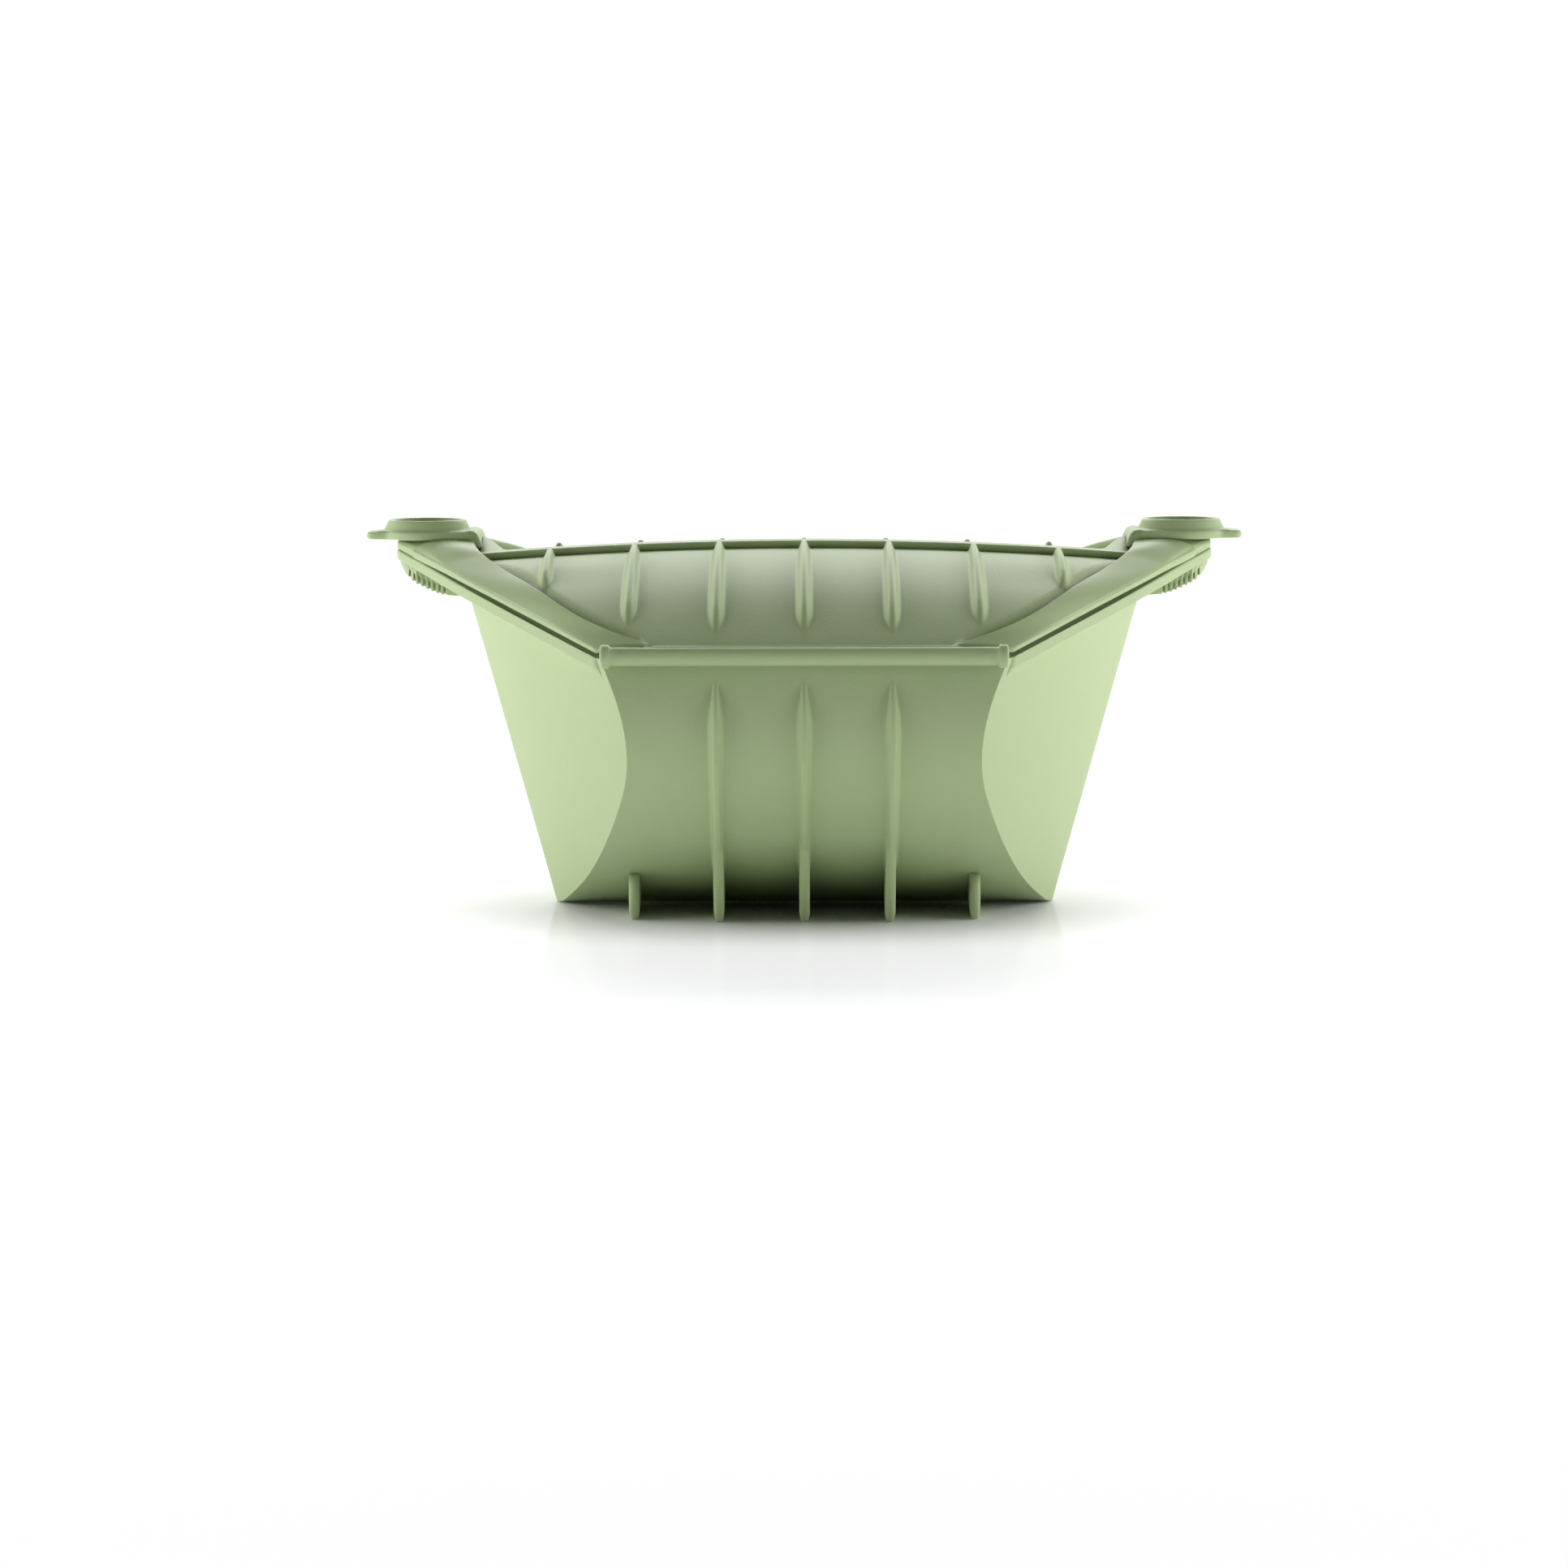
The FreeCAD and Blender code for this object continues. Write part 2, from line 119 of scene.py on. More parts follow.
# %% [markdown]
# Every piece is built from patches. A patch is a grid of points, rows by columns, and each small square of
# the grid becomes one face. Patches that share an edge are welded afterwards, so a whole moulding ends up
# as one closed skin.

# %% Patches: grids of points that become faces
def new_store():
    return {"points": [], "faces": []}


def patch(store, grid, flip=False, close=False):
    """Add a grid of points (rows, columns, 3) as quads; close joins the last column to the first."""
    grid = np.asarray(grid, float)
    rows, cols = grid.shape[:2]
    first = len(store["points"])
    store["points"].extend(grid.reshape(-1, 3).tolist())
    across = cols if close else cols - 1
    for r in range(rows - 1):
        here = first + r * cols
        above = here + cols
        for c in range(across):
            d = (c + 1) % cols
            quad = [here + c, here + d, above + d, above + c]
            store["faces"].append(quad[::-1] if flip else quad)


sample = new_store()
patch(sample, np.zeros((3, 4, 3)))
print("a grid of 3 rows and 4 columns gives", len(sample["faces"]), "faces")

# %% [markdown]
# A swept tube is open at its ends, and a panel is two sheets with nothing between them. Both have to be
# closed, or light gets in. An end is closed with a fan round one point, a panel with four narrow strips
# along its edges.

# %% Closing ends and panels
def cap(store, ring, hub=None):
    """Close an open ring with a fan round its middle, or round a point that the ring already has."""
    centre = ring.mean(axis=0) if hub is None else hub
    patch(store, [ring, np.repeat(centre[None], len(ring), axis=0)], close=hub is None)


def close_slab(store, top, bottom):
    """Join a top grid and a bottom grid into one closed slab."""
    patch(store, top)
    patch(store, bottom, flip=True)
    patch(store, [top[0], bottom[0]])
    patch(store, [top[-1], bottom[-1]])
    patch(store, [top[:, 0], bottom[:, 0]])
    patch(store, [top[:, -1], bottom[:, -1]])


closed = new_store()
cap(closed, np.eye(3))
print("a fan on 3 points has", len(closed["faces"]), "faces")

# %% [markdown]
# The case is the same on its left and right, and its tub is the same front and back. We draw one side and
# turn the sign of one coordinate for the other. Blender's Mirror modifier could do it, but the two sides
# are separate pieces here, each with its own name.

# %% The other side of the case
SIDES = ((1, "right"), (-1, "left"))
ENDS = ((-1, "front"), (1, "rear"))


def mirrored(grid, axis):
    """The same grid on the other side of X (axis 0) or Y (axis 1)."""
    other = np.array(grid, float)
    other[..., axis] *= -1
    return other


def on_side(grid, side):
    """A grid drawn on the right, kept there or moved to the left."""
    return grid if side > 0 else mirrored(grid, 0)


print("two sides:", [name for _, name in SIDES], "and two ends:", [name for _, name in ENDS])

# %% [markdown]
# Once a piece's patches are in the store, they are welded, smoothed and seated on the body that they move
# with. A hard edge can also get a small bevel: a real mould can't make a knife edge, and a bevel is what
# catches the light along it.

# %% Welding, rounding and seating a piece
WELD = 0.02
SLIVER = 0.01


def weld(name, store):
    """One mesh from the patches, with its shared edges joined and its faces turned outwards."""
    mesh = bpy.data.meshes.new(name)
    mesh.from_pydata([[c * MM for c in p] for p in store["points"]], [], store["faces"])
    bm = bmesh.new()
    bm.from_mesh(mesh)
    bmesh.ops.remove_doubles(bm, verts=bm.verts, dist=WELD * MM)
    bmesh.ops.dissolve_degenerate(bm, dist=SLIVER * MM, edges=bm.edges)
    bmesh.ops.recalc_face_normals(bm, faces=bm.faces)
    bm.to_mesh(mesh)
    bm.free()
    mesh.shade_smooth()
    return mesh


def build(name, store, body, nodes, material, round_edges=0.0, angle=35):
    """Weld the patches into one mesh, round its hard edges and seat it on its body."""
    mesh = weld(name, store)
    piece = bpy.data.objects.new(name, mesh)
    bpy.context.scene.collection.objects.link(piece)
    mesh.materials.append(material)
    if round_edges:
        bevel = piece.modifiers.new("soft_edges", "BEVEL")
        bevel.width = round_edges * MM
        bevel.segments = 3
        bevel.limit_method = "ANGLE"
        bevel.angle_limit = math.radians(angle)
        bevel.harden_normals = True
    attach(piece, body)
    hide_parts(*nodes)
    print(f"{name}: {len(mesh.vertices)} points, {len(mesh.polygons)} faces")
    return piece


print("points closer than", WELD, "mm are welded")

# %% [markdown]
# Pigment is never perfectly even in silicone or in plastic. A very soft cloud between two close shades
# keeps the surface from looking like flat paint. It uses the object's own coordinates, so it stays put when
# a flap turns.

# %% A clouded base colour
def new_material(name, roughness):
    """A material with its nodes, its links and its shader at hand."""
    material = bpy.data.materials.new(name)
    material.use_nodes = True
    shader = material.node_tree.nodes["Principled BSDF"]
    shader.inputs["Roughness"].default_value = roughness
    return material, material.node_tree.nodes, material.node_tree.links, shader


def noise(nodes, links, place, scale, detail):
    """A noise texture in the object's own coordinates."""
    texture = nodes.new("ShaderNodeTexNoise")
    texture.inputs["Scale"].default_value = scale
    texture.inputs["Detail"].default_value = detail
    links.new(place.outputs["Object"], texture.inputs["Vector"])
    return texture


def clouded(nodes, links, shader, cloud, deep, light):
    """Tint the base colour between two shades with a cloud."""
    tint = nodes.new("ShaderNodeMix")
    tint.data_type = "RGBA"
    tint.inputs["A"].default_value = deep
    tint.inputs["B"].default_value = light
    links.new(cloud.outputs["Fac"], tint.inputs["Factor"])
    links.new(tint.outputs["Result"], shader.inputs["Base Color"])


print("materials so far:", len(bpy.data.materials))

# %% [markdown]
# Silicone is matt but not dull. Light goes a little way in, so it never looks like paint, and at a low
# angle its surface turns pale. A Principled shader with some subsurface does both. The fine grain is in the
# bump: moulds for silicone are spark-eroded, which leaves a sandy skin on the broad walls.

# %% Two finishes of green silicone
SILICONE_LIGHT = (0.385, 0.480, 0.255, 1.0)
SILICONE_DEEP = (0.360, 0.460, 0.228, 1.0)


def silicone(name, grain, roughness):
    """Green silicone; grain is how deep its sandy skin is, in millimetres."""
    material, nodes, links, shader = new_material(name, roughness)
    shader.inputs["Specular IOR Level"].default_value = 0.38
    shader.inputs["IOR"].default_value = 1.41
    shader.inputs["Subsurface Weight"].default_value = 0.12
    shader.inputs["Subsurface Radius"].default_value = (0.9, 1.0, 0.5)
    shader.inputs["Subsurface Scale"].default_value = 0.0015
    place = nodes.new("ShaderNodeTexCoord")
    clouded(nodes, links, shader, noise(nodes, links, place, 22.0, 3.0), SILICONE_DEEP, SILICONE_LIGHT)
    sand = noise(nodes, links, place, 1500.0, 2.0)
    sand.inputs["Roughness"].default_value = 0.65
    bump = nodes.new("ShaderNodeBump")
    bump.inputs["Strength"].default_value = 1.0
    bump.inputs["Distance"].default_value = grain * MM
    links.new(sand.outputs["Fac"], bump.inputs["Height"])
    links.new(bump.outputs["Normal"], shader.inputs["Normal"])
    return material


sandy = silicone("silicone_sandy", 0.10, 0.50)
smooth_skin = silicone("silicone_smooth", 0.02, 0.46)
print("finishes:", sandy.name, "and", smooth_skin.name)

# %% [markdown]
# The tub is a hull, and a hull starts from a few numbers. The end walls lean outwards as they rise and
# taper towards the hinges, so a simple rule gives the half length at any height and distance from the
# middle. The hinge bars are measured from the frame, because the lid has to turn about them.

# %% The tub's measures
WALL = 2.2
END_HALF = 76.9
END_FLARE = 0.277
END_TAPER = 0.30
END_BOW = 0.00128
bar_low, bar_high = box_mm("front_hinge_bar")
COLLAR_R = (bar_high[2] - bar_low[2]) / 2
BAR_R = COLLAR_R - 0.7
BAR_HALF = bar_high[0]
HINGE_Y = -(bar_low[1] + COLLAR_R)
HINGE_Z = (bar_high[2] + bar_low[2]) / 2


def end_x(y, z, inset=0.0):
    """Half length of the tub at a distance from the middle and a height."""
    y = np.abs(y)
    return END_HALF + END_FLARE * z - END_TAPER * y - END_BOW * y * y - inset


print("hinge axes at y", round(HINGE_Y, 2), "z", round(HINGE_Z, 2), "bar radius", round(BAR_R, 2))

# %% [markdown]
# Across, the belly is one long curve from the front hinge, under the keel, to the rear hinge. Its direction
# at each point tells us which way is out of the silicone, and we need that for the wall's thickness and the
# ribs.

# %% The belly's curve
FLOOR_GAP = 0.06
KEEL = (0.0, FLOOR_GAP)
SIDE = [(96.4, 83.2), (98.9, 72.0), (98.6, 62.0), (93.8, 50.5), (81.7, 37.8), (61.3, 23.0), (38.5, 11.2),
        (15.0, 3.0)]
belly = curve_through([(-y, z) for y, z in SIDE] + [KEEL] + SIDE[::-1], 221)
slope = np.gradient(belly, axis=0)
slope /= np.linalg.norm(slope, axis=1)[:, None]
outward = np.stack([slope[:, 1], -slope[:, 0]], axis=1)
print("belly curve", len(belly), "points, lowest", round(belly[:, 1].min(), 2))

# %% [markdown]
# Seen from above, the rim runs from each hinge end to a rounded nose, and its height follows its outline:
# the further out, the higher. One table lookup then gives the height of the rim anywhere.

# %% The rim's outline
RIM = [(60.4, 94.3), (76.0, 75.5), (90.8, 57.0), (101.0, 43.0), (110.0, 28.5), (119.0, 13.5)]
TIP_X = box_mm("right_end_flange")[1][0]
RIM_Z = 82.9
RIM_RISE = 0.4086
quarter = [(x, -y) for x, y in RIM]
outline = curve_through(quarter + [(TIP_X, 0.0)] + RIM[::-1], 161)
half_outline = outline[:81]


def rim_z(y):
    """Height of the rim at a distance from the middle."""
    x = np.interp(-np.abs(y), half_outline[:, 1], half_outline[:, 0])
    return RIM_Z + RIM_RISE * (x - RIM[0][0])


print("rim rises from", round(float(rim_z(94.3)), 1), "to", round(float(rim_z(0.0)), 1))

# %% [markdown]
# Ribs could be separate bars laid on the wall, but real ones grow out of it with soft shoulders. So the
# wall itself is pushed out where a rib runs: flat on the crest, then an S down to nothing. The columns of
# the grid crowd together at each rib, and spread out between them.

# %% Ribs that grow out of a wall
PITCH = 25.6
RIB_ZONE = 4.05
WALL_RIB_PROUD = 3.2


def ridge(d, crest, shoulder):
    """1 on the crest of a rib, 0 past its shoulder."""
    return 1 - ease(np.abs(d), crest, shoulder)


def rib_columns(ribs, reach, fine=0.36, coarse=3.2):
    """Positions across a wall, dense near each rib."""
    places = set()
    for k in range(-ribs, ribs + 1):
        places.update(np.round(k * PITCH + np.arange(-RIB_ZONE, RIB_ZONE + 0.01, fine), 3))
    for k in range(-ribs, ribs):
        between = np.arange(k * PITCH + RIB_ZONE + coarse, (k + 1) * PITCH - RIB_ZONE, coarse)
        places.update(np.round(between, 3))
    return np.array(sorted(p for p in places if abs(p) <= reach))


def wall_rib_height(x, z):
    """How far the three ribs stand out of the long walls."""
    fade = float(ease(z, 76.5, 62.0) * ease(z, 8.0, 21.0))
    height = np.zeros_like(x * z)
    for k in (-1, 0, 1):
        height = np.maximum(height, ridge(x - k * PITCH, 0.4, 0.8 + 1.7 * fade))
    return WALL_RIB_PROUD * math.sqrt(fade) * height


print("wall ribs stand", round(float(wall_rib_height(np.array([0.0]), 50.0)[0]), 2), "mm proud")

# %% [markdown]
# The belly is now a sheet: the curve carried along the tub and pushed out at the ribs. We make it twice,
# once as the outside and once a wall's thickness further in, so that the inside of the open case is real
# too. The sheet stops just short of the floor, because the case stands on its fins.

# %% The belly's sheets
END_SHARE = 1.12
inner_cols = rib_columns(1, 34.0)
steps = np.linspace(0.0, 1.0, 15)[1:]


def hull(inset, ribbed):
    """Grid of the belly, from the left end wall to the right one."""
    rows = []
    for (y, z), (ny, nz) in zip(belly, outward):
        y = y - ny * inset
        z = max(z - nz * inset, FLOOR_GAP)
        limit = end_x(y, z, inset * END_SHARE)
        edge = inner_cols[-1]
        right = edge + (limit - edge) * steps
        x = np.concatenate([-right[::-1], inner_cols, right])
        lift = wall_rib_height(x, z) if ribbed else 0.0 * x
        rows.append(np.stack([x, y + ny * lift, z + nz * lift], axis=1))
    return np.array(rows)


outer, inner = hull(0.0, True), hull(WALL, False)
print("belly sheet:", outer.shape[0], "rows by", outer.shape[1], "columns")

# %% [markdown]
# An end wall fills the space between the belly's edge and the rim. Its rows slide from one to the other,
# and the rule for the half length puts every point on the same gently bowed surface.

# %% The end walls' sheets
def end_wall(inset):
    """Grid of the right-hand end wall, between the belly's edge and the rim."""
    side = belly - outward * inset
    t = np.linspace(0.0, 1.0, len(side))
    rim_y = -(SIDE[0][0] - inset) * np.cos(math.pi * t)
    rim = np.stack([rim_y, rim_z(rim_y)], axis=1)
    rim[0], rim[-1] = side[0], side[-1]
    rows = []
    for w in np.linspace(0.0, 1.0, 29):
        yz = side * (1 - w) + rim * w
        yz[:, 1] = np.maximum(yz[:, 1], FLOOR_GAP)
        x = end_x(yz[:, 0], yz[:, 1], inset * END_SHARE)
        rows.append(np.stack([x, yz[:, 0], yz[:, 1]], axis=1))
    return np.array(rows)


far_wall, near_wall = end_wall(0.0), end_wall(WALL)
print("end wall tops out at", round(float(far_wall[..., 2].max()), 1), "mm")

# %% [markdown]
# Six sheets and the narrow strips between them make the tub. They meet point for point, so welding is
# enough and no Boolean is needed. The bevel then rounds the sharp line where an end wall meets the belly,
# which is the crisp curved edge that gives the case its shape.

# %% The tub's skin
tub = new_store()
patch(tub, outer)
patch(tub, inner, flip=True)
for row in (0, -1):
    patch(tub, [outer[row], inner[row]])
for side, _ in SIDES:
    far, near = on_side(far_wall, side), on_side(near_wall, side)
    patch(tub, far)
    patch(tub, near, flip=True)
    patch(tub, [far[-1], near[-1]])
tub_skin = build("tub_skin", tub, "tub", ["tub_shell", "front_wall_ribs", "rear_wall_ribs"],
                 sandy, 0.5)

# %% [markdown]
# The flange is the flat seat that carries the lid. We sweep one section round the nose: from the wall's
# inside, over the seat, round the outer edge and back underneath, where a cove leads it into the end wall.

# %% One section of the flange
FLANGE = 3.2
CORNER = 0.7
COVE = 5.0
quarter_turn = np.radians(np.linspace(0.0, 90.0, 4))
edge_profile = [(CORNER * (1 - math.sin(a)), CORNER * (1 - math.cos(a))) for a in quarter_turn]
edge_profile += [(CORNER * (1 - math.cos(a)), FLANGE - CORNER + CORNER * math.sin(a)) for a in quarter_turn]


def flange_section(xo, yo, yi):
    """Section of the flange between its outer edge (xo, yo) and the wall at yi."""
    xi = end_x(yi, rim_z(yi), WALL + 0.4)
    section = []
    for w in (0.0, 0.35, 0.7, 0.93):
        y = yi + (yo - yi) * w
        section.append((xi + (xo - xi) * w, y, rim_z(y)))
    inward = np.array([xi - xo, yi - yo])
    inward /= max(np.linalg.norm(inward), 1e-6)
    for reach, drop in edge_profile:
        section.append((xo + inward[0] * reach, yo + inward[1] * reach, rim_z(yo) - drop))
    low = rim_z(yi) - FLANGE
    foot = np.array([end_x(yi, low - COVE, 0.6), yi, low - COVE])
    knee = np.array([end_x(yi, low, -0.4), yi, low])
    start = np.array(section[-1])
    for w in np.linspace(0.12, 1.0, 9):
        section.append(tuple(start * (1 - w) ** 2 + knee * 2 * w * (1 - w) + foot * w * w))
    return section


print("flange", FLANGE, "mm thick, with a cove of", COVE, "mm")

# %% [markdown]
# The sweep takes one section for each point of the rim's outline. The matching place on the wall moves
# faster near the nose than near the hinges, which a cosine does well.

# %% The end flanges
wall_places = -95.0 * np.cos(math.pi * np.linspace(0.0, 1.0, len(outline)))
flange = np.array([flange_section(xo, yo, yi) for (xo, yo), yi in zip(outline, wall_places)])
for side, name in SIDES:
    store = new_store()
    grid = on_side(flange, side)
    patch(store, grid)
    for end in (0, -1):
        cap(store, grid[end])
    build(name + "_flange", store, "tub", [name + "_end_flange"], smooth_skin)

# %% [markdown]
# Under each nose hangs a pad to grip the hot case by. Its two lower edges have finger grooves. We could cut
# them with a Boolean for each groove, but the pad is drawn in thin slices along its length, so raising the
# slice's edge where a groove falls is simpler and stays one clean skin.

# %% A slice of a grip pad
PAD_UNDER = [(101.5, 96.6), (104.0, 95.8), (107.0, 95.8), (110.8, 96.2), (116.2, 98.4), (121.0, 101.2),
             (123.6, 104.8), (125.1, 109.4)]
PAD_HALF = 14.0
GROOVE = 1.55
GROOVE_FROM = 109.0
GROOVE_DEEP = 2.6
outline_y = outline[80:]


def pad_slice(x, z):
    """Section of the right-hand pad across the nose."""
    phase = (x - GROOVE_FROM) / GROOVE
    cut = 0.0
    if 0 < phase < 7.9:
        cut = GROOVE_DEEP * float(ease(abs(phase % 1.0 - 0.5), 0.30, 0.16))
    half = min(PAD_HALF, float(np.interp(-x, -outline_y[:, 0], outline_y[:, 1])) - 0.3)
    half = max(half, 0.4)
    top = float(rim_z(half)) - 1.4
    z = min(z, top - 0.05)
    cut = min(cut, max(0.0, top - z - 0.6))
    section = []
    for a in np.linspace(-1.0, 1.0, 33):
        squared = math.copysign(min(abs(a) * 1.12, 1.0), a)
        drop = max(0.0, (abs(a) - 0.86) / 0.14)
        notch = cut * float(ease(half * abs(squared), half - 4.6, half - 3.8))
        height = z + notch + (top - z - notch) * drop**2.0
        section.append((x, half * squared, min(height, top)))
    return section


print("a groove every", GROOVE, "mm")

# %% [markdown]
# The slices make the underside. Its flat cover lies hidden in the flange, and is there only to close the
# pad.

# %% The grip pads under the noses
pad = np.array([pad_slice(x, z) for x, z in curve_through(PAD_UNDER, 190)])
for side, name in SIDES:
    store = new_store()
    grid = on_side(pad, side)
    cover = grid.copy()
    cover[..., 2] = cover[..., 2].max(axis=1, keepdims=True)
    patch(store, grid)
    patch(store, cover, flip=True)
    for end in (0, -1):
        patch(store, [grid[end], cover[end]])
    build(name + "_pad", store, "tub", [name + "_grip_pad"], smooth_skin)

# %% [markdown]
# The hinge bars are turned shapes: a rod with a collar at each end. We spin a short profile about the bar.
# A cylinder with two more cylinders on it would leave hard corners, which a moulded collar doesn't have.

# %% Turning a profile about a hinge bar
COLLAR_IN = BAR_HALF - 2.8


def turned(profile, centre, count=40):
    """Grid of a shape turned about a line along X; the profile is (position along, radius)."""
    a = np.linspace(0.0, 2 * math.pi, count, endpoint=False)
    rows = []
    for along, radius in profile:
        ring = [np.full(count, along), centre[0] + radius * np.cos(a), centre[1] + radius * np.sin(a)]
        rows.append(np.stack(ring, axis=1))
    return np.array(rows)


bar_profile = [(-BAR_HALF, 0.0), (-BAR_HALF, COLLAR_R - 0.7), (-BAR_HALF + 0.2, COLLAR_R - 0.2),
               (-BAR_HALF + 0.7, COLLAR_R), (-COLLAR_IN - 0.5, COLLAR_R), (-COLLAR_IN - 0.1, COLLAR_R - 0.15),
               (-COLLAR_IN + 0.25, BAR_R), (-COLLAR_IN + 3, BAR_R)]
bar_profile += [(x, BAR_R) for x in np.linspace(-COLLAR_IN + 8, 0.0, 8)]
bar_profile += [(-x, r) for x, r in bar_profile[::-1][1:]]
print("bar profile:", len(bar_profile), "points")

# %% [markdown]
# Behind each bar a short web joins it to the tub's top edge. It is a plain four-sided strip, since nothing
# of it shows but its underside.

# %% The hinge bars
for side, name in ENDS:
    store = new_store()
    patch(store, turned(bar_profile, (side * HINGE_Y, HINGE_Z)), close=True)
    web = []
    for x in (-BAR_HALF + 0.4, BAR_HALF - 0.4):
        section = [(1.0, 0.5), (5.2, 0.6), (5.2, 4.6), (2.0, 2.2)]
        web.append([(x, side * (HINGE_Y - inwards), HINGE_Z - down) for inwards, down in section])
    patch(store, web, close=True)
    build(name + "_bar", store, "tub", [name + "_hinge_bar"], smooth_skin)

# %% [markdown]
# The case stands on tall fins under the belly. Each fin is a thin wall between the belly and a rounded edge
# that curves down to the floor. Its root ends inside the belly's skin, so no gap shows.

# %% One fin
FOOT_EDGE = [(72.0, 29.0), (66.6, 21.6), (61.6, 14.4), (57.2, 7.6), (54.2, 3.0), (52.2, 0.8), (49.8, 0.0)]
SHORT_EDGE = [(43.8, 14.4), (46.4, 13.6), (48.3, 11.2), (48.6, 7.0), (47.4, 3.0), (46.0, 0.8), (43.6, 0.0)]
FIN_HALF = 1.6
FIN_END = -13.0


def fin_section(x, y, z, root_y, root_z):
    """Section of a fin from its root in the belly to its rounded edge and back."""
    half = FIN_HALF - 0.45 * float(ease(z, 3.0, 0.0))
    half *= 0.55 + 0.45 * float(ease(-y, 14.0, 46.0))
    away = np.array([y - root_y, z - root_z])
    length = max(np.linalg.norm(away), 1e-6)
    away /= length
    section = [(x - half, root_y, root_z)]
    for r in np.radians(np.linspace(-90.0, 90.0, 9)):
        back = min(half * 0.8, length) * (1 - math.cos(r))
        section.append((x + half * math.sin(r), y - away[0] * back, z - away[1] * back))
    section.append((x + half, root_y, root_z))
    return section


def foot_rows(x, edge):
    """Sections of one front fin, from the wall down to the floor and back under the belly."""
    path = curve_through([(-y, z) for y, z in edge], 34)
    path[:, 1] = np.maximum(path[:, 1], 0.0)
    path = np.concatenate([path, [(y, 0.0) for y in np.linspace(path[-1, 0] + 4, FIN_END, 8)]])
    front = belly[belly[:, 0] < -8.0]
    root = front[np.argmin(np.abs(front[:, 1] - edge[0][1])):]
    pick = np.linspace(0, len(root) - 1, len(path)).astype(int)
    return np.array([fin_section(x, y, z, ry, rz + 1.0) for (y, z), (ry, rz) in zip(path, root[pick])])


print("a fin is", 2 * FIN_HALF, "mm thick")

# %% [markdown]
# Five fins stand at the front and five at the rear, a rib's pitch apart. The outer ones are shorter,
# because the belly is narrower there.

# %% The ten fins
for k in range(-2, 3):
    fin = foot_rows(k * PITCH, SHORT_EDGE if abs(k) == 2 else FOOT_EDGE)
    for side, name in ENDS:
        store = new_store()
        grid = fin if side < 0 else mirrored(fin, 1)
        patch(store, grid, close=True)
        for end in (0, -1):
            cap(store, grid[end], grid[end][0])
        build(f"{name}_fin_{k + 3}", store, "tub", [f"{name}_foot_{k + 3}"], smooth_skin)

# %% [markdown]
# Each lid flap is a shallow barrel: a wide arc from the hinge to the middle, and a much flatter one along.
# The rear flap's arc is wider than the front's. Its numbers are top, radius, where the crest is, how much
# it drops along, and how much more it drops near the hinge.

# %% The lid's barrels
FRONT_BARREL = (111.1, 128.0, 22.0, 0.0004, 0.0002)
REAR_BARREL = (109.4, 168.0, 12.0, 0.00025, 0.0)
BACK_RADIUS = 168.0
FREE_EDGE = box_mm("front_flap_panel")[1][1]
PANEL_HALF = 98.5
LIP_Y = -box_mm("rear_flap_lip")[0][1]


def barrel(u, x, shape):
    """Top of a flap; u is the distance from the middle towards the flap's own hinge."""
    top, radius, crest, arch, tighter = shape
    across = u - crest
    radius = np.where(across < 0, BACK_RADIUS, radius)
    arch = arch + tighter * ease(np.abs(u), 42.0, 62.0)
    return top - (radius - np.sqrt(radius**2 - across**2)) - arch * x * x


print("free edge at", round(FREE_EDGE, 1), "mm, lip at", round(-LIP_Y, 1), "mm from the middle")

# %% [markdown]
# Beside the panel runs the inner crest of the smooth band. The panel dips next to it, so the band's edge
# stands free and catches the light, and near the hinge the panel levels out to pass over the round bar.

# %% Where the panel meets the band and the bar
CREST = [(44.0, 97.0, 86.9), (59.4, 87.5, 91.8), (70.8, 75.5, 96.8), (79.3, 62.5, 101.3), (91.0, 42.0, 106.3),
         (98.5, 27.0, 110.6), (101.0, 13.5, 112.45)]
CREST_DROP = 1.5
DIP = 4.5
HAIR = 0.08
crest_line = curve_through(CREST, 140)


def bar_cover(u):
    """Height of the hinge bar's top, with a hair's clearance, at a distance from the middle."""
    room = BAR_R + HAIR
    return HINGE_Z + np.sqrt(np.maximum(room**2 - (u - HINGE_Y) ** 2, 0.0))


def valley(u, x, z):
    """Lower the panel into a soft dip beside the band, and level it out over the hinge bar."""
    reach = np.hypot(np.abs(x)[:, None] - crest_line[:, 0], u[:, None] - crest_line[:, 1])
    nearest = reach.argmin(axis=1)
    away = reach[np.arange(len(u)), nearest]
    edge = crest_line[nearest, 2] - CREST_DROP
    z = z - np.maximum(z - edge, 0.0) * (1 - ease(away, 0.0, DIP)) * ease(np.abs(x), 44.0, 56.0)
    side = rim_z(u) + 1.5
    z = z + np.maximum(side - z, 0.0) * ease(np.abs(x), 91.0, 98.5) * ease(np.abs(u), 40.0, 26.0)
    level = HINGE_Z + BAR_R - 0.15
    soft = 0.5 * (z + level + np.sqrt((z - level) ** 2 + 0.12))
    return np.maximum(soft, bar_cover(u) + 0.07)


def underside(u, z):
    """Bottom of a panel: a wall's thickness lower, but never inside the hinge bar."""
    over_bar = np.abs(u - HINGE_Y) < BAR_R + HAIR
    low = np.where(over_bar, np.maximum(z - WALL, bar_cover(u)), z - WALL)
    return np.minimum(low, z - 0.05)


print("the crest rises from", CREST[0][2], "to", CREST[-1][2], "mm")

# %% [markdown]
# A panel is not a rectangle. Its columns are spread to meet the band's crest at each side, and its rows
# start at the hinge in the middle but at the crest further out.

# %% The panel's rows and columns
lid_cols = rib_columns(3, 90.0)
tail = lid_cols[-1] + (PANEL_HALF - lid_cols[-1]) * np.linspace(0.0, 1.0, 7)[1:]
lid_cols = np.concatenate([-tail[::-1], lid_cols, tail])


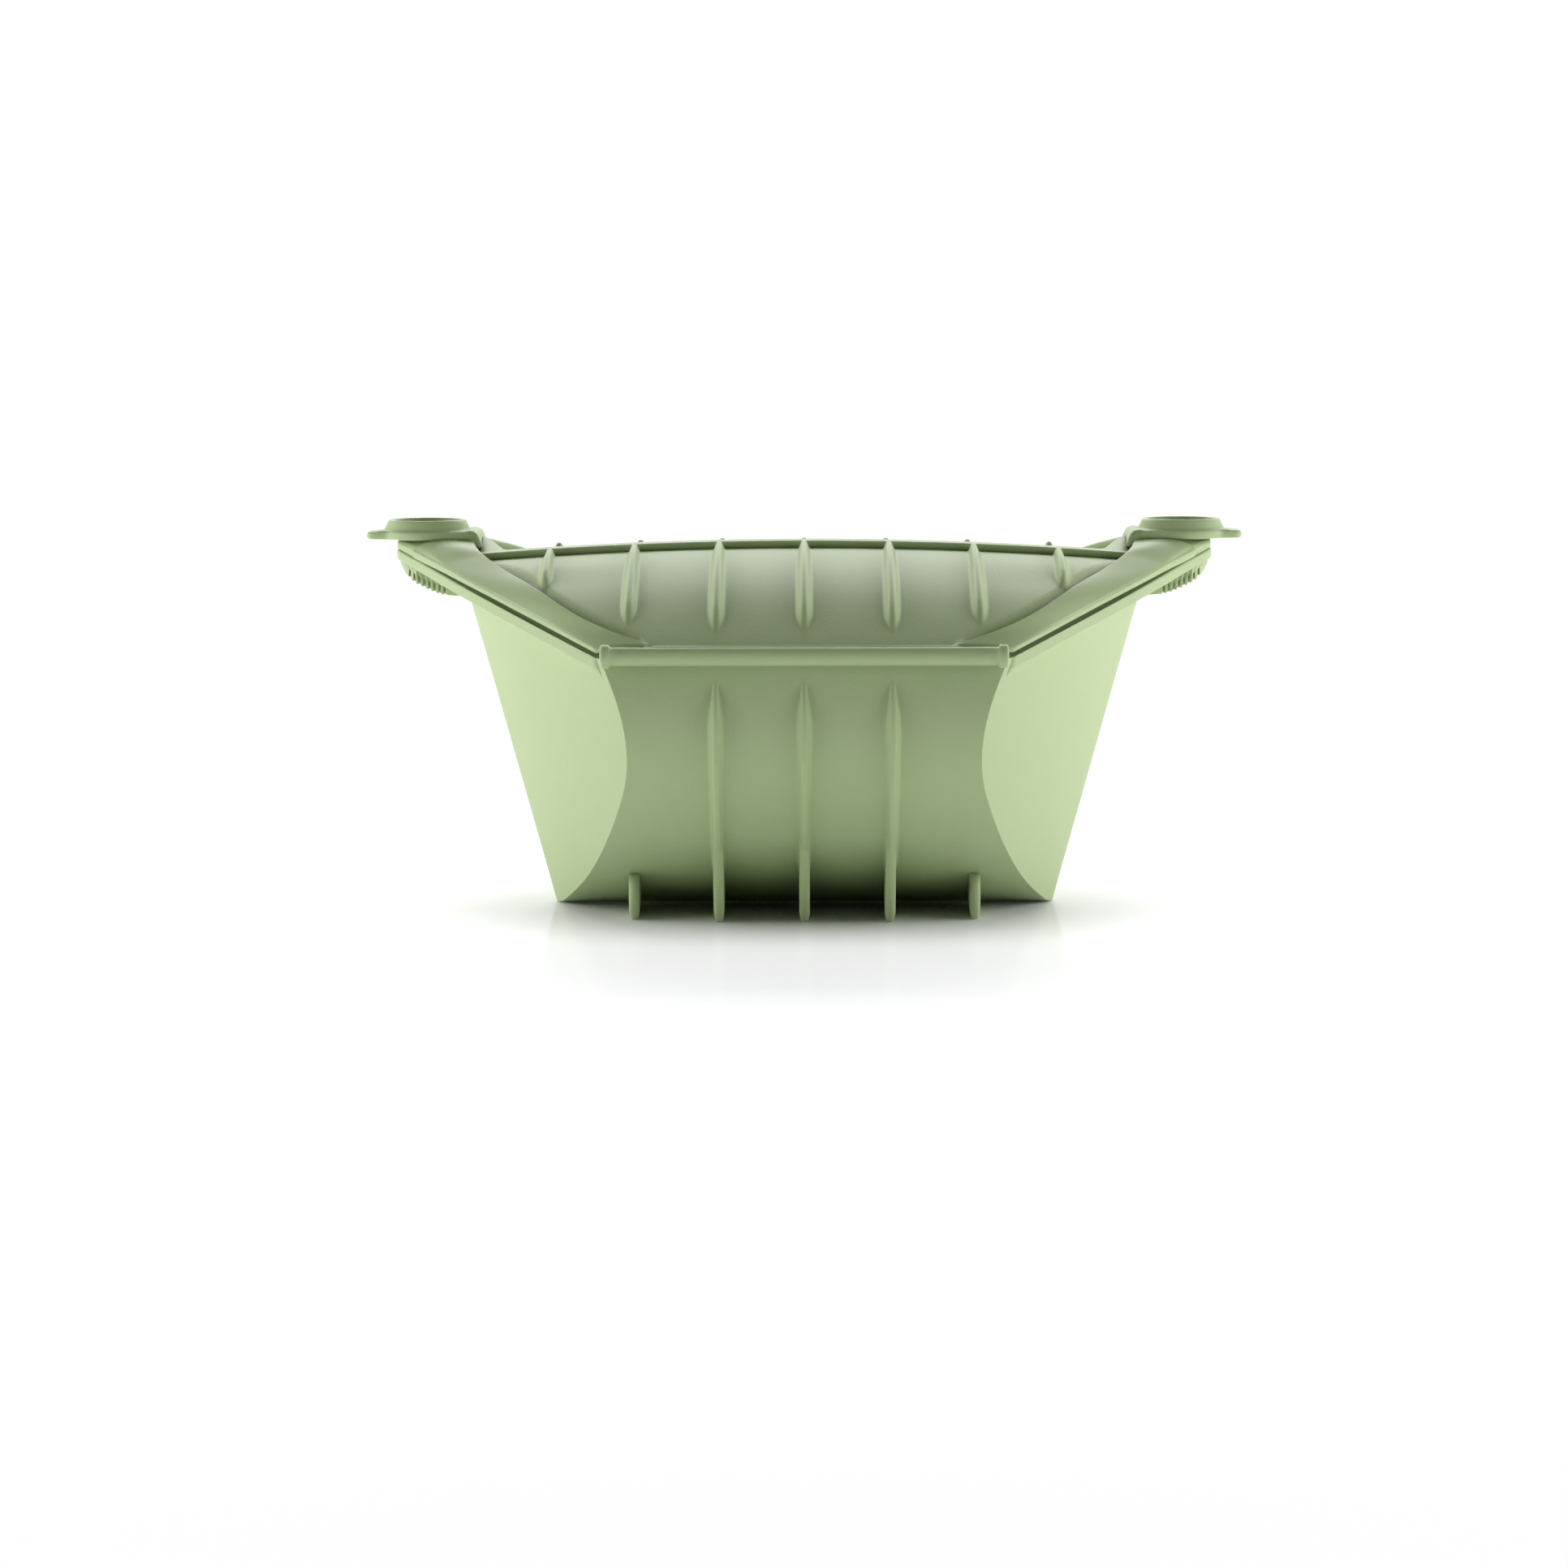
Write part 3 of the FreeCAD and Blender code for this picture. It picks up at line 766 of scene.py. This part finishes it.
def side_columns(u, narrow):
    """Stretch the outer columns so the panel's sides meet the band or stop at the latch's step."""
    edge = np.interp(u, [13.5, 27.0], [101.0, PANEL_HALF])
    if narrow:
        edge = np.where(u < 13.45, PANEL_HALF, edge)
    stretch = 1 + (edge - PANEL_HALF) / (PANEL_HALF - 90.0)
    out = np.maximum(np.abs(lid_cols) - 90.0, 0.0)
    return np.sign(lid_cols) * (np.minimum(np.abs(lid_cols), 90.0) + out * stretch)


def hinge_side(x):
    """How far the panel reaches towards its hinge."""
    x = np.abs(x)
    reach = np.interp(x, crest_line[:, 0], crest_line[:, 1])
    return np.where(x < 44.0, HINGE_Y, reach)


print("panel columns:", len(lid_cols))

# %% [markdown]
# A flap's seven ribs grow out of it like the tub's. They are pill-shaped: broad and rounded low down,
# narrower towards the lip, and the outer ones are shorter.

# %% The lid's ribs
RIB_LOW = (92.5, 92.5, 88.0, 64.0)
LID_RIB_PROUD = 2.5


def lid_rib_height(x, u, top_u):
    """How far the seven ribs stand out of a flap, u counted towards the hinge."""
    total = np.zeros_like(x * u)
    flank = 1.0 + 0.75 * ease(u, top_u, top_u + 45.0)
    for k in range(-3, 4):
        low = RIB_LOW[abs(k)]
        fade = np.sqrt(np.clip((low - u) / 9.0, 0.0, 1.0)) * ease(u, low, low - 6.0)
        fade = fade * np.sqrt(ease(u, top_u, top_u + 2.5))
        rib = LID_RIB_PROUD * fade * ridge(x - k * PITCH, 0.45, 0.9 + flank * fade)
        total = np.maximum(total, rib)
    return total


print("lid ribs stand", LID_RIB_PROUD, "mm proud")

# %% [markdown]
# The front flap lies underneath. It runs from its hinge to its free edge, which the rear flap will cover,
# and its ribs stop where the rear flap's lip comes down.

# %% The front flap's panel
def front_panel():
    """Top and bottom grids of the front flap."""
    reach = hinge_side(lid_cols)
    top, bottom = [], []
    for w in np.concatenate([np.linspace(0.0, 0.08, 16), np.linspace(0.09, 1.0, 112)]):
        u = reach - (FREE_EDGE + reach) * w
        x = side_columns(u, False)
        z = valley(u, x, barrel(u, x, FRONT_BARREL))
        rib = lid_rib_height(x, u, LIP_Y - 0.2)
        top.append(np.stack([x, -u, z + rib], axis=1))
        bottom.append(np.stack([x, -u, underside(u, z)], axis=1))
    return np.array(top), np.array(bottom)


store = new_store()
close_slab(store, *front_panel())
build("front_panel", store, "front_flap", ["front_flap_panel", "front_flap_ribs"], sandy)

# %% [markdown]
# The rear flap lies on top. Its free margin steps up over the front flap and ends in a thick lip, so its
# section is drawn as two curves, a top and an underside, that follow the front flap with a hair's gap
# between them.

# %% The rear flap's panel, margin and lip
GAP = 0.12
MARGIN = 2.08
LIP_ROUND = 0.7
REAR_RIB_TOP = 23.0


def on_front_flap(u, x):
    """Height of the front flap's top, where the rear flap's margin lies on it."""
    return valley(-u, x, barrel(-u, x, FRONT_BARREL)) + GAP


def rear_top(u, x):
    """Top of the rear flap: its own barrel, then the margin that follows the front flap."""
    own = barrel(u, x, REAR_BARREL)
    join = ease(u, 6.0, 20.0)
    return (on_front_flap(u, x) + MARGIN) * (1 - join) + own * join


def rear_row(u):
    """Top and bottom points of the rear flap across one row."""
    from_lip = np.clip(1 - (u + LIP_Y) / LIP_ROUND, 0.0, 1.0)
    edge = LIP_ROUND * (1 - np.sqrt(1 - from_lip**2))
    x = side_columns(u, True)
    z = valley(u, x, rear_top(u, x))
    rib = lid_rib_height(x, u, REAR_RIB_TOP)
    low = np.where(u < FREE_EDGE + 1.0, on_front_flap(u, x), underside(u, z))
    top = np.stack([x, u, z + rib - edge], axis=1)
    return top, np.stack([x, u, np.minimum(low, z - edge - 0.05)], axis=1)


print("the margin lies", GAP, "mm above the front flap")

# %% [markdown]
# The rows crowd together at the lip, which is rounded, and again near the hinge, where the panel bends over
# the bar. Between them they can be further apart.

# %% Sewing up the rear flap
lip_places = np.linspace(0.0, 0.9, 9) ** 2 * 0.03
row_places = np.concatenate([lip_places, np.linspace(0.03, 0.9, 100), np.linspace(0.907, 1.0, 20)])
rear_reach = hinge_side(lid_cols)
rear_rows = [rear_row(-LIP_Y + (rear_reach + LIP_Y) * w) for w in row_places]
store = new_store()
close_slab(store, np.array([top for top, _ in rear_rows]), np.array([low for _, low in rear_rows]))
build("rear_panel", store, "rear_flap",
      ["rear_flap_panel", "rear_flap_ribs", "rear_flap_margin", "rear_flap_lip"], sandy)

# %% [markdown]
# The bands are the broad smooth edges that seal the lid along the flange. Each is a strip between two
# curves, the outer edge over the rim and the inner crest beside the panel, closed with a rounded outer
# edge. The lid's edge is thick at the nose, where it almost touches the flange, and thin towards the hinge.

# %% One section of a lid band
BAND_LIFT = 3.0
EDGE_BOW = 0.6
OUTER = [(60.6, 94.3), (68.0, 85.4), (76.0, 75.5), (84.0, 65.6), (94.0, 52.8), (103.0, 40.0), (110.0, 28.5),
         (119.6, 13.5)]


def edge_thickness(y):
    """How thick the lid's outer edge is at a distance from the middle."""
    return BAND_LIFT - 0.45 - 1.05 * float(ease(abs(y), 8.0, 60.0))


def band_section(crest, outer_edge, swell):
    """Section of the right-hand front band between a point of its crest and one of its outer edge."""
    xi, yi, zi = crest
    xo, yo = outer_edge
    lift = swell * math.exp(-(((-yi - 44.0) / 15.0) ** 2))
    zi = zi + lift
    zo = float(rim_z(yo)) + BAND_LIFT
    section = [(xi - 0.5, yi + 0.5, zi - 0.9), (xi - 0.15, yi + 0.15, zi - 0.25)]
    power = 1.0 + 4.4 * float(ease(-yi, 34.0, 13.5))
    for w in (0.012, 0.04, 0.12, 0.28, 0.42, 0.56, 0.7, 0.8, 0.88, 0.95):
        bow = 4 * w * (1 - w) * 0.55
        section.append((xi + (xo - xi) * w, yi + (yo - yi) * w, zi + (zo - zi) * w**power + bow))
    away = np.array([xo - xi, yo - yi])
    away /= np.linalg.norm(away)
    half = edge_thickness(yo) / 2
    for a in np.radians(np.linspace(0.0, 180.0, 9)):
        out = EDGE_BOW * (1 - math.sin(a))
        section.append((xo - away[0] * out, yo - away[1] * out, zo - half + half * math.cos(a)))
    section.append((xi, yi, zi - lift - WALL - 0.7))
    return section


print("band edge", round(edge_thickness(0.0), 2), "to", round(edge_thickness(90.0), 2), "mm thick")

# %% [markdown]
# One set of sections serves all four bands. The rear ones swell a little at mid length, where the rear flap
# is the higher of the two.

# %% The lid bands
BAND_COUNT = 100
band_crest = curve_through([(x, -y, z) for x, y, z in CREST], BAND_COUNT)
band_outer = curve_through([(x, -y) for x, y in OUTER], BAND_COUNT)


def band_rows(swell):
    """Sections of the right-hand front band, from the hinge to the nose."""
    return np.array([band_section(crest, edge, swell) for crest, edge in zip(band_crest, band_outer)])


for row_name, flap, rows in (("front", "front_flap", band_rows(0.0)),
                             ("rear", "rear_flap", mirrored(band_rows(1.9), 1))):
    for side, name in SIDES:
        store = new_store()
        grid = on_side(rows, side)
        patch(store, grid, close=True)
        for end in (0, -1):
            cap(store, grid[end])
        build(f"{name}_{row_name}_edge", store, flap, [f"{name}_{row_name}_band"],
              smooth_skin)

# %% [markdown]
# The front flap's tip is a flat landing that the latch lies on. Its rim carries on the rounded edge of the
# band, so it is drawn across the nose in rows, flat for most of the way and turned down at the end.

# %% The front flap's landings
ring_low, ring_high = box_mm("right_latch_ring")
LATCH_X = (ring_low[0] + ring_high[0]) / 2
LANDING_IN = 101.0
LANDING_Z = box_mm("right_front_tip")[1][2]


def landing_grids():
    """Top and underside of the right-hand landing, whose rim carries on the edge of the band."""
    top, bottom = [], []
    w = np.concatenate([np.linspace(0.0, 0.9, 20), np.linspace(0.92, 1.0, 8)])
    turn_down = 0.75 * (1 - np.sqrt(1 - ease(w, 0.94, 1.0) ** 2 * 0.999))
    for y in np.linspace(-13.6, 12.0, 44):
        x_out = float(np.interp(-abs(y), half_outline[:, 1], half_outline[:, 0]))
        xs = LANDING_IN + (x_out - 0.2 - LANDING_IN) * w
        edge = float(rim_z(y)) + BAND_LIFT
        z = LANDING_Z + (edge - LANDING_Z) * w**5.4 - turn_down
        low = np.full(len(w), edge - edge_thickness(y))
        top.append(np.stack([xs, np.full(len(w), y), z], axis=1))
        bottom.append(np.stack([xs, np.full(len(w), y), np.minimum(low, z - 0.1)], axis=1))
    return np.array(top), np.array(bottom)


top_grid, bottom_grid = landing_grids()
print("a landing spans", round(float(np.ptp(top_grid[..., 1])), 1), "mm across the nose")

# %% [markdown]
# On each landing stands a snap button. It has a narrow neck and a wider head, which is what holds the ring.
# A dozen radii spun about an upright line give it all of its round edges.

# %% The snap buttons on their landings
BUTTON_TOP = box_mm("right_latch_button")[1][2]


def turned_up(profile, centre, count=72):
    """Grid of a shape turned about an upright line; the profile is (radius, height)."""
    a = np.linspace(0.0, 2 * math.pi, count, endpoint=False)
    rows = []
    for radius, height in profile:
        ring = [centre + radius * np.cos(a), radius * np.sin(a), np.full(count, height)]
        rows.append(np.stack(ring, axis=1))
    return np.array(rows)


NECK = [(9.0, LANDING_Z - 0.3), (8.3, LANDING_Z + 0.5), (8.1, BUTTON_TOP - 2.0), (8.5, BUTTON_TOP - 1.4)]
HEAD = [(8.6, BUTTON_TOP - 1.0), (8.4, BUTTON_TOP - 0.4), (7.8, BUTTON_TOP), (6.4, BUTTON_TOP)]
DISH = [(5.8, BUTTON_TOP - 0.4), (5.2, BUTTON_TOP - 0.9), (3.0, BUTTON_TOP - 1.0), (0.0, BUTTON_TOP - 1.0)]
button_grid = turned_up(NECK + HEAD + DISH, LATCH_X)
for side, name in SIDES:
    store = new_store()
    close_slab(store, on_side(top_grid, side), on_side(bottom_grid, side))
    build(name + "_landing", store, "front_flap", [name + "_front_tip"], smooth_skin)
    store = new_store()
    patch(store, on_side(button_grid, side), close=True)
    build(name + "_button", store, "front_flap", [name + "_latch_button"], smooth_skin)

# %% [markdown]
# The latch is one moulding: a collar round a hole, on a plate that is round outside, square inboard and
# stretched into a pull tab at the end. We treat it as a turned shape whose outer radius changes with the
# angle.

# %% The latch plate's outline
PLATE_Z, PLATE_TOP = (box_mm("right_latch_plate")[i][2] for i in (0, 1))
RING_TOP = ring_high[2]
RING_HOLE = 10.4
PLATE_R = 14.2
TAB_END = CAD_BOX[1][0] / MM - LATCH_X - 0.15
TAB_HALF = 7.4
TONGUE = LATCH_X - LANDING_IN
TONGUE_HALF = 13.4


def plate_radius(angle):
    """Distance from the ring's centre to the plate's edge in one direction."""
    c, s = math.cos(angle), math.sin(angle)
    if c > 0:
        return max(PLATE_R, min(TAB_HALF / max(abs(s), 1e-6), TAB_END / c))
    return max(PLATE_R, min(TONGUE / max(-c, 1e-6), TONGUE_HALF / max(abs(s), 1e-6)))


angles = np.linspace(0.0, 2 * math.pi, 144, endpoint=False)
radii = np.array([plate_radius(a) for a in angles])
for _ in range(6):
    radii = (np.roll(radii, 1) + 2 * radii + np.roll(radii, -1)) / 4
print("latch plate reaches", round(float(radii.max()), 1), "mm from the ring's centre")

# %% [markdown]
# The collar's part of the profile is the same all round. The plate's part takes its radius from the
# outline. The tab is a touch thinner than the plate, as a pull tab should be, so its top sinks a little as
# it goes out.

# %% The collar and the plate in one sweep
COLLAR_PROFILE = [(RING_HOLE, PLATE_Z), (RING_HOLE, RING_TOP - 0.9), (10.5, RING_TOP - 0.35),
                  (10.8, RING_TOP - 0.06), (11.2, RING_TOP), (11.6, RING_TOP - 0.08),
                  (11.95, RING_TOP - 0.35),
                  (12.2, RING_TOP - 0.8), (12.5, RING_TOP - 1.5), (12.85, RING_TOP - 2.2),
                  (13.1, PLATE_TOP + 0.5), (13.4, PLATE_TOP + 0.15)]
PLATE_PROFILE = [(0.55, PLATE_TOP), (0.25, PLATE_TOP - 0.12), (0.0, PLATE_TOP - 0.6), (0.0, PLATE_Z + 0.6),
                 (0.3, PLATE_Z + 0.15), (0.8, PLATE_Z)]


def plate_ring(inset, height):
    """One ring of points round the plate's edge."""
    ring = []
    for a, r in zip(angles, radii):
        out = max(r - inset, 13.5)
        tab = float(ease(out * math.cos(a), 13.5, 15.5)) if math.cos(a) > 0 else 0.0
        z = height - 0.35 * tab if height > PLATE_Z + 1 else height
        ring.append((LATCH_X + out * math.cos(a), out * math.sin(a), z))
    return ring


latch = list(turned_up(COLLAR_PROFILE, LATCH_X, len(angles)))
latch += [plate_ring(inset, height) for inset, height in PLATE_PROFILE]
latch += list(turned_up([(RING_HOLE, PLATE_Z)], LATCH_X, len(angles)))
latch = np.array(latch)
print("latch rises from", round(PLATE_Z, 1), "to", round(RING_TOP, 1), "mm")

# %% [markdown]
# Inboard, the plate turns down in a soft S to the rear flap. That step is a short sweep of one section,
# with its top corners eased off at both ends.

# %% The latches and their steps
STEP_TOP = PLATE_TOP + 0.35
STEP = [(98.0, 108.4), (98.25, 110.2), (98.85, 112.3), (99.4, 113.8), (100.0, 114.8), (100.8, 115.35),
        (101.9, STEP_TOP), (103.2, STEP_TOP - 0.1), (104.2, PLATE_TOP - 0.1), (104.4, PLATE_TOP - 0.6),
        (104.2, PLATE_Z + 0.1), (102.6, PLATE_Z - 0.1), (101.5, 112.2), (100.9, 111.0), (100.8, 108.4)]
EASED_FROM = 112.0
step_rows = []
for y in np.linspace(-13.0, 13.4, 30):
    eased = 0.5 * max(0.0, (abs(y) - 12.2)) ** 2
    step_rows.append([(x, y, z - (eased if z > EASED_FROM else 0.0)) for x, z in STEP])
step_rows = np.array(step_rows)
for side, name in SIDES:
    store = new_store()
    patch(store, on_side(latch, side), close=True)
    build(name + "_latch", store, "rear_flap",
          [name + "_latch_plate", name + "_latch_ring", name + "_pull_tab"], smooth_skin)
    store = new_store()
    grid = on_side(step_rows, side)
    patch(store, grid, close=True)
    for end in (0, -1):
        cap(store, grid[end])
    build(name + "_step", store, "rear_flap", [name + "_latch_step"], smooth_skin)

# %% [markdown]
# The draining tray stands loose inside. Its shape in the frame is already right, so it only gets a finish:
# pale translucent plastic with a faint satin.

# %% The tray's finish
def tray_plastic():
    material, nodes, links, shader = new_material("tray_plastic", 0.38)
    shader.inputs["Subsurface Weight"].default_value = 0.2
    shader.inputs["Subsurface Scale"].default_value = 0.002
    cloud = noise(nodes, links, nodes.new("ShaderNodeTexCoord"), 35.0, 2.0)
    clouded(nodes, links, shader, cloud, (0.80, 0.81, 0.77, 1.0), (0.86, 0.87, 0.84, 1.0))
    return material


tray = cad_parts["drain_tray"]
tray.data.materials.clear()
tray.data.materials.append(tray_plastic())
print("tray finish:", tray.data.materials[0].name)

# %% [markdown]
# Now the studio. Both the floor and the world need values that change from place to place, so they share
# three small helpers: one that stretches a value from one range to another, one that multiplies two values,
# and one that tells what the camera sees directly from what only lights the case.

# %% Helpers for the studio's nodes
def ramp(nodes, links, value, start, end, smooth=False):
    """Stretch a value from one range to another; start and end are (value in, value out)."""
    node = nodes.new("ShaderNodeMapRange")
    if smooth:
        node.interpolation_type = "SMOOTHSTEP"
    node.inputs["From Min"].default_value, node.inputs["To Min"].default_value = start
    node.inputs["From Max"].default_value, node.inputs["To Max"].default_value = end
    links.new(value, node.inputs["Value"])
    return node.outputs["Result"]


def product(nodes, links, first, second):
    node = nodes.new("ShaderNodeMath")
    node.operation = "MULTIPLY"
    links.new(first, node.inputs[0])
    links.new(second, node.inputs[1])
    return node.outputs["Value"]


def seen_directly(nodes):
    return nodes.new("ShaderNodeLightPath").outputs["Is Camera Ray"]


print("studio helpers ready")

# %% [markdown]
# The floor is a white sweep with a faint painted glow, like a lit table's, except in an oval under the case,
# where the glow is taken away to paint the case's shadow. It has a very slight sheen.

# %% The floor
FLOOR_SIZE = 6.0
PAINTED_SHADOW_OVAL = (8.5, 13.0, 1.0)


def floor_with_painted_glow():
    material, nodes, links, shader = new_material("studio_floor", 0.12)
    shader.inputs["Base Color"].default_value = (0.89, 0.88, 0.93, 1.0)
    shader.inputs["IOR"].default_value = 1.04
    # The floor's white emission is a painted glow; the oval below takes it away to paint a shadow under the
    # case.
    shader.inputs["Emission Color"].default_value = (1.0, 1.0, 1.0, 1.0)
    oval = nodes.new("ShaderNodeVectorMath")
    oval.operation = "MULTIPLY"
    oval.inputs[1].default_value = PAINTED_SHADOW_OVAL
    links.new(nodes.new("ShaderNodeTexCoord").outputs["Object"], oval.inputs[0])
    distance = nodes.new("ShaderNodeVectorMath")
    distance.operation = "LENGTH"
    links.new(oval.outputs["Vector"], distance.inputs[0])
    glow = ramp(nodes, links, distance.outputs["Value"], (0.58, 0.0), (1.5, 0.42), smooth=True)
    # The camera sees the painted glow a touch stronger than the light it throws on the case.
    seen = ramp(nodes, links, seen_directly(nodes), (0.0, 1.0), (1.0, 1.05))
    links.new(product(nodes, links, glow, seen), shader.inputs["Emission Strength"])
    return material


def floor_sweep():
    size = FLOOR_SIZE
    corners = [(-size, -size, 0), (size, -size, 0), (size, size * 2, 0), (-size, size * 2, 0)]
    mesh = bpy.data.meshes.new("studio_floor")
    mesh.from_pydata(corners, [], [(0, 1, 2, 3)])
    floor = bpy.data.objects.new("studio_floor", mesh)
    bpy.context.scene.collection.objects.link(floor)
    mesh.materials.append(floor_with_painted_glow())


floor_sweep()
print("floor", 2 * FLOOR_SIZE, "m wide")

# %% [markdown]
# The world is white to the eye, but as a light it is bright behind the case and dim towards the camera's
# side, and dimmer overhead. That difference is what gives the broad front wall its deeper green.

# %% The white room
def white_room():
    """A world that looks white but lights the case mostly from behind."""
    world = bpy.data.worlds.new("white_room")
    bpy.context.scene.world = world
    world.use_nodes = True
    nodes = world.node_tree.nodes
    links = world.node_tree.links
    background = nodes["Background"]
    background.inputs["Color"].default_value = (1.0, 1.0, 1.0, 1.0)
    split = nodes.new("ShaderNodeSeparateXYZ")
    links.new(nodes.new("ShaderNodeTexCoord").outputs["Generated"], split.inputs["Vector"])
    behind = ramp(nodes, links, split.outputs["Y"], (-0.5, 0.05), (0.6, 1.3))
    overhead = ramp(nodes, links, split.outputs["Z"], (0.15, 1.0), (0.75, 0.27), smooth=True)
    choose = nodes.new("ShaderNodeMix")
    choose.inputs["B"].default_value = 1.25
    links.new(seen_directly(nodes), choose.inputs["Factor"])
    links.new(product(nodes, links, behind, overhead), choose.inputs["A"])
    links.new(choose.outputs["Result"], background.inputs["Strength"])


white_room()
print("world:", bpy.context.scene.world.name)

# %% [markdown]
# Two broad soft lights at the sides rake along the walls and pick out every rib's flanks. One behind and
# above whitens the lid. A weak one, low at the front, keeps the fins and the lower belly from going black.

# %% The soft lights
def soft_light(name, place, aim, size, power):
    light = bpy.data.lights.new(name, "AREA")
    light.shape = "RECTANGLE"
    light.size, light.size_y = size
    light.energy = power
    lamp = bpy.data.objects.new(name, light)
    lamp.location = place
    lamp.rotation_euler = (Vector(aim) - Vector(place)).to_track_quat("-Z", "Y").to_euler()
    bpy.context.scene.collection.objects.link(lamp)


SIDE_POWER = 5.6
soft_light("left_softbox", (-0.85, -0.08, 0.24), (0.0, 0.0, 0.06), (1.1, 0.5), SIDE_POWER)
soft_light("right_softbox", (0.85, -0.08, 0.24), (0.0, 0.0, 0.06), (1.1, 0.5), SIDE_POWER)
soft_light("low_fill", (0.0, -1.0, 0.03), (0.0, 0.0, 0.02), (1.6, 0.10), 0.2)
soft_light("back_softbox", (0.0, 0.85, 0.72), (0.0, 0.0, 0.09), (1.4, 0.5), 10.0)
print("lights:", len(bpy.data.lights))

# %% [markdown]
# The camera stands low in front with a long lens, as a product photographer would have it. From there the
# case is seen almost straight on, and the lid's top is just visible.

# %% The camera
DOWNWARD = 6.062


def stand_camera():
    camera = bpy.data.cameras.new("studio_camera")
    camera.lens = 108.07
    camera.sensor_width = 36.0
    camera.clip_start = 0.05
    stand = bpy.data.objects.new("studio_camera", camera)
    stand.location = (0.0, -1.450, 0.1903)
    turn = [math.radians(a) for a in (90.0 - DOWNWARD, 0.12, 0.237)]
    stand.rotation_euler = Euler(turn, "XYZ")
    bpy.context.scene.collection.objects.link(stand)
    bpy.context.scene.camera = stand


stand_camera()
bpy.context.scene.view_settings.view_transform = "Standard"
print("camera looks down by", DOWNWARD, "degrees")
